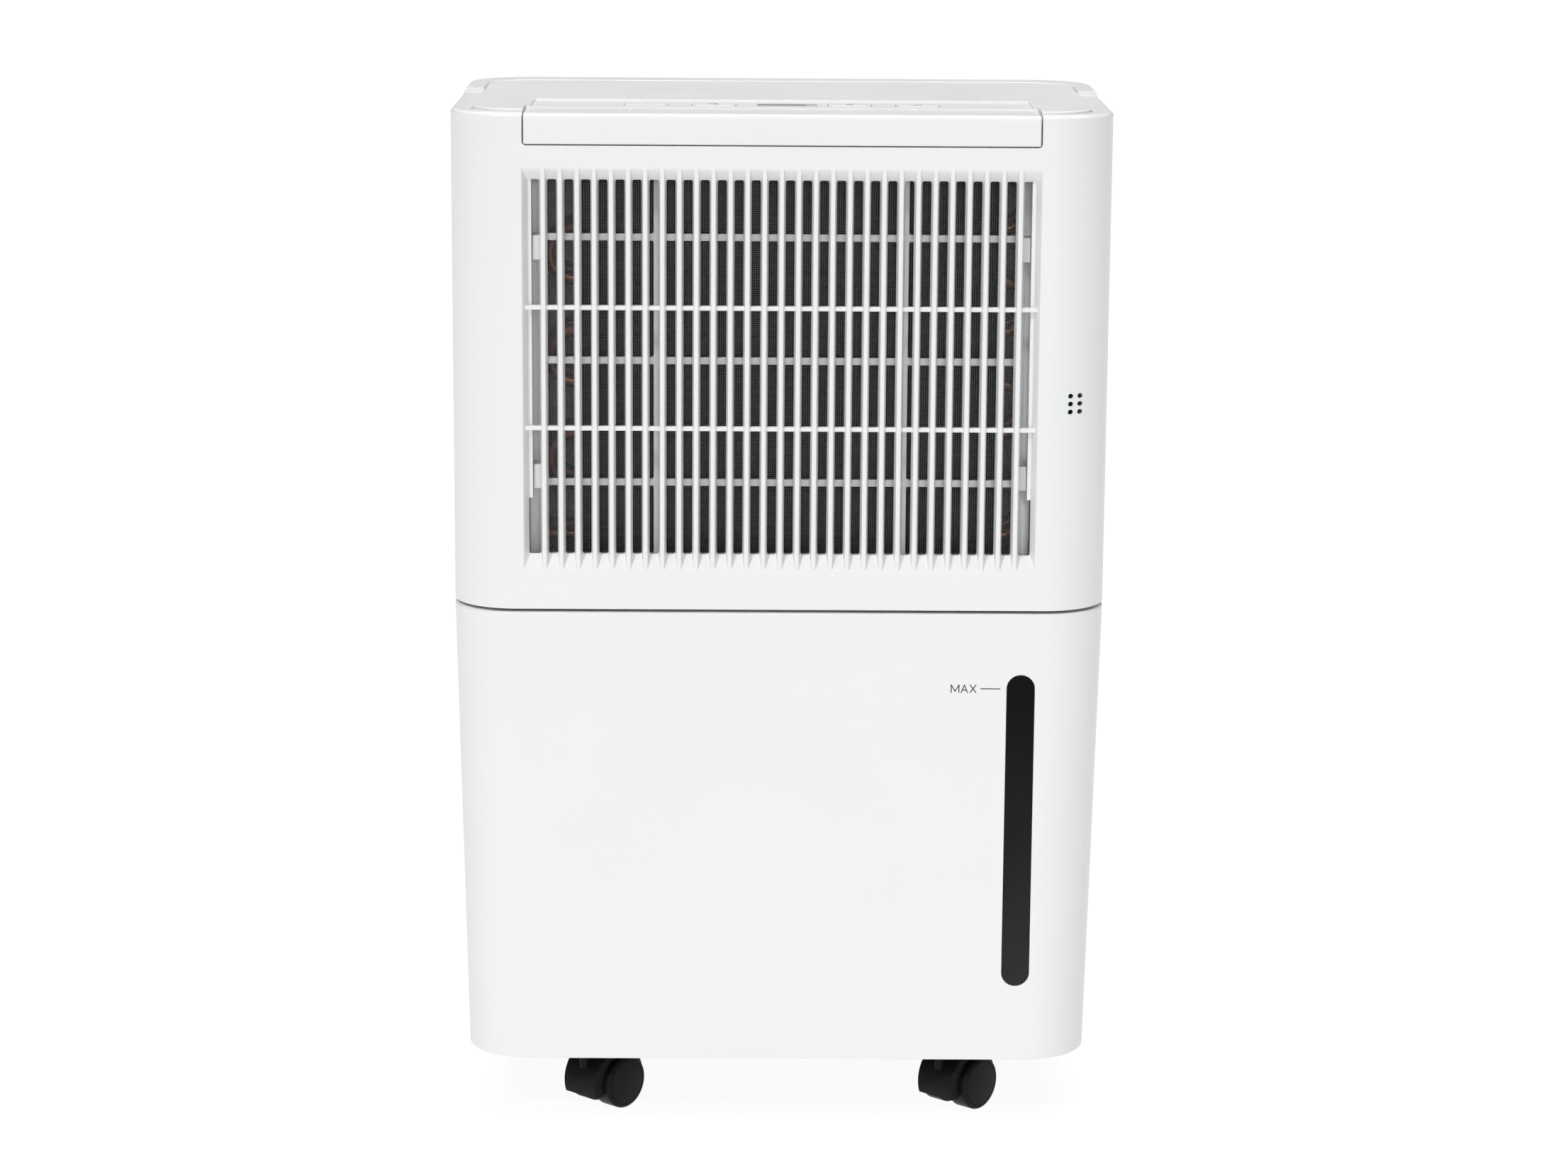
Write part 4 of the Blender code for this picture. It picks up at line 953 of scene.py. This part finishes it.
def paint_light_by_height(material, heights, factors):
    """Paints light and shade into a material: scales its colour by a value that changes with the height in
    metres.
    """
    tree = material.node_tree
    shader = tree.nodes["Principled BSDF"]
    colour = shader.inputs["Base Color"].links[0].from_socket
    place = tree.nodes.new("ShaderNodeTexCoord")
    split = tree.nodes.new("ShaderNodeSeparateXYZ")
    tree.links.new(place.outputs["Object"], split.inputs["Vector"])
    ramp = tree.nodes.new("ShaderNodeMapRange")
    ramp.inputs["From Min"].default_value, ramp.inputs["From Max"].default_value = heights
    ramp.inputs["To Min"].default_value, ramp.inputs["To Max"].default_value = factors
    tree.links.new(split.outputs["Z"], ramp.inputs["Value"])
    scaled = tree.nodes.new("ShaderNodeVectorMath")
    scaled.operation = "SCALE"
    tree.links.new(colour, scaled.inputs["Vector"])
    tree.links.new(ramp.outputs["Result"], scaled.inputs["Scale"])
    tree.links.new(scaled.outputs["Vector"], shader.inputs["Base Color"])


WHITE = surface("shell_white", (0.87, 0.875, 0.878), 0.34, grain=1400, bump=0.03, mottle=0.006, patch=14)
PANEL = surface("panel_grey", (0.83, 0.834, 0.836), 0.4, grain=1800, bump=0.12, mottle=0.008, patch=18)
INNER = surface("inner_white", (0.80, 0.805, 0.81), 0.5, grain=1100, bump=0.05, mottle=0.015)
GRAINED = surface("grained_black", (0.0085, 0.0085, 0.008), 0.55, grain=1700, bump=0.5, mottle=0.12,
                  patch=300, Specular_IOR_Level=0.11)
BLACK = surface("smooth_black", (0.0075, 0.0075, 0.0075), 0.42, grain=1500, bump=0.08, mottle=0.08, patch=90,
                Specular_IOR_Level=0.1)
LENS = surface("smoke_lens", (0.012, 0.012, 0.0115), 0.12, grain=300, bump=0.01, mottle=0.25, patch=12,
               Specular_IOR_Level=0.08)
# Painted light and shade on the lens: its colour is made 1.9 times as bright near the bottom and 0.3 times as
# bright near the top.
paint_light_by_height(LENS, (0.08, 0.22), (1.9, 0.3))
BUCKET = surface("bucket_plastic", (0.70, 0.74, 0.76), 0.3, grain=400, bump=0.04, mottle=0.03,
                 Transmission_Weight=0.35)
NET = surface("net_grey", (0.105, 0.11, 0.115), 0.35, grain=2500, bump=0.1, mottle=0.2, patch=400)
FINS = surface("fin_coat", (0.005, 0.013, 0.019), 0.38, 0.35, grain=900, bump=0.1, mottle=0.35, patch=160,
               Specular_IOR_Level=0.2)
BARE_FINS = surface("fin_bare", (0.6, 0.61, 0.62), 0.35, 1.0, grain=900, bump=0.1, mottle=0.1, patch=160)
COPPER = surface("copper", (0.42, 0.18, 0.105), 0.3, 1.0, grain=700, bump=0.06, mottle=0.25, patch=70)
STEEL = surface("steel", (0.58, 0.58, 0.57), 0.3, 1.0, grain=1200, bump=0.05, mottle=0.05,
                stretch=(1, 1, 0.05))
ZINC = surface("zinc", (0.5, 0.51, 0.52), 0.42, 1.0, grain=500, bump=0.05, mottle=0.16, patch=120)
PAINT = surface("dark_paint", (0.02, 0.02, 0.021), 0.35, grain=450, bump=0.12, mottle=0.1, patch=60)
RUBBER = surface("rubber", (0.022, 0.022, 0.022), 0.75, grain=1600, bump=0.2, mottle=0.1, patch=120)
BOARD = surface("board_green", (0.02, 0.11, 0.05), 0.4, grain=900, bump=0.1, mottle=0.15, patch=200)
PANE = surface("pane_grey", (0.46, 0.465, 0.465), 0.2, grain=500, bump=0.01, mottle=0.02)
LIGHTS = surface("pane_light", (0.66, 0.665, 0.67), 0.25, grain=500, bump=0.01, mottle=0.02)
INK = surface("ink", (0.035, 0.035, 0.037), 0.5, grain=2500, bump=0.1, mottle=0.1, patch=500)
FLOOR = surface("floor_paper", (0.07, 0.07, 0.07), 0.9, grain=300, bump=0.02, mottle=0.004, patch=3,
                Emission_Color=(1, 1, 1, 1), Emission_Strength=0.95)

SLOT_LOOKS = {
    "white_shell": WHITE, "light_grey_panel": PANEL, "inner_white": INNER, "black_plastic": BLACK,
    "smoke_lens": LENS, "bucket_plastic": BUCKET, "filter_netting": NET, "coated_fins": FINS,
    "bare_fins": BARE_FINS, "copper": COPPER, "steel": STEEL, "zinc_sheet": ZINC, "dark_paint": PAINT,
    "rubber": RUBBER, "circuit_board": BOARD, "display_pane": PANE,
}


def dress_nodes():
    """Every CAD node that stays gets its slot's material, and smooth shading up to an angle."""
    slots = {part["node"]: part["material_slot"] for part in frame["record"]["subparts"]}
    for name, node in frame["nodes"].items():
        node.data.materials.clear()
        node.data.materials.append(SLOT_LOOKS[slots[name]])
        for attribute in [a for a in node.data.attributes if a.name == "custom_normal"]:
            node.data.attributes.remove(attribute)
        node.data.shade_smooth()
        weld = node.modifiers.new("weld", "WELD")
        weld.merge_threshold = 1e-6
        split = node.modifiers.new("edges", "EDGE_SPLIT")
        split.split_angle = math.radians(32)


# ---------------------------------------------------------------- stage


def soft_sun(name, direction, angle, strength):
    """A distant soft light; direction points from the object towards it."""
    data = bpy.data.lights.new(name, "SUN")
    data.angle = math.radians(angle)
    data.energy = strength
    made = bpy.data.objects.new(name, data)
    made.rotation_euler = Vector(direction).to_track_quat("Z", "Y").to_euler()
    bpy.context.scene.collection.objects.link(made)


def studio_world():
    """A world that is white where it is seen, and gives only a little even light."""
    world = bpy.data.worlds.new("studio")
    bpy.context.scene.world = world
    world.use_nodes = True
    nodes = world.node_tree.nodes
    links = world.node_tree.links
    rays = nodes.new("ShaderNodeLightPath")
    strength = nodes.new("ShaderNodeMapRange")
    strength.inputs["To Min"].default_value = 0.07
    strength.inputs["To Max"].default_value = 1.0
    links.new(rays.outputs["Is Camera Ray"], strength.inputs["Value"])
    links.new(strength.outputs["Result"], nodes["Background"].inputs["Strength"])
    nodes["Background"].inputs["Color"].default_value = (1, 1, 1, 1)


def front_camera():
    """A long lens a little above the top, looking down at the front."""
    lens = bpy.data.cameras.new("camera")
    lens.lens = 92.24
    lens.sensor_width = 36.0
    lens.sensor_fit = "HORIZONTAL"
    camera = bpy.data.objects.new("camera", lens)
    yaw, pitch, roll = math.radians(0.4595), math.radians(11.834), math.radians(0.377)
    ahead = Vector((math.sin(yaw) * math.cos(pitch), math.cos(yaw) * math.cos(pitch), -math.sin(pitch)))
    right = Vector((math.cos(yaw), -math.sin(yaw), 0))
    up = right.cross(ahead)
    right, up = right * math.cos(roll) + up * math.sin(roll), up * math.cos(roll) - right * math.sin(roll)
    camera.matrix_world = Matrix((right, up, -ahead)).transposed().to_4x4()
    camera.location = (-0.01318, -2.01212, 0.67528)
    bpy.context.scene.collection.objects.link(camera)
    bpy.context.scene.camera = camera


def stage():
    """The floor, the lights and the camera."""
    floor = box("floor", (-15000, 15000), (-6000, 24000), (-12, -0.05))
    floor.data.materials.append(FLOOR)
    studio_world()
    soft_sun("key", (-0.335, -0.62, 0.71), 7, 1.1)
    soft_sun("fill", (0.05, -0.98, 0.18), 20, 0.62)
    soft_sun("overhead", (0.05, 0.1, 1.0), 55, 2.55)
    front_camera()
    bpy.context.scene.view_settings.view_transform = "Standard"


dress_nodes()
front_casing(WHITE)
rear_casing(WHITE)
top_panel(PANEL)
keys(PANEL, INK)
display(PANE, LIGHTS)
grip_bar(WHITE)
filter_parts(INNER, NET)
fin_block("evaporator_fins", EVAPORATOR_Y, FINS, "evaporator_core", "coated_fins")
fin_block("condenser_fins", CONDENSER_Y, BARE_FINS, "condenser_core", "bare_fins")
coil_tube("evaporator_serpentine", EVAPORATOR_Y, COPPER, "evaporator_tube")
coil_tube("condenser_serpentine", CONDENSER_Y, COPPER, "condenser_tube")
tank_front(WHITE)
level_lens(LENS)
level_mark(INK)
bucket(BUCKET)
bail(INNER)
casters(GRAINED, BLACK, STEEL)
stage()
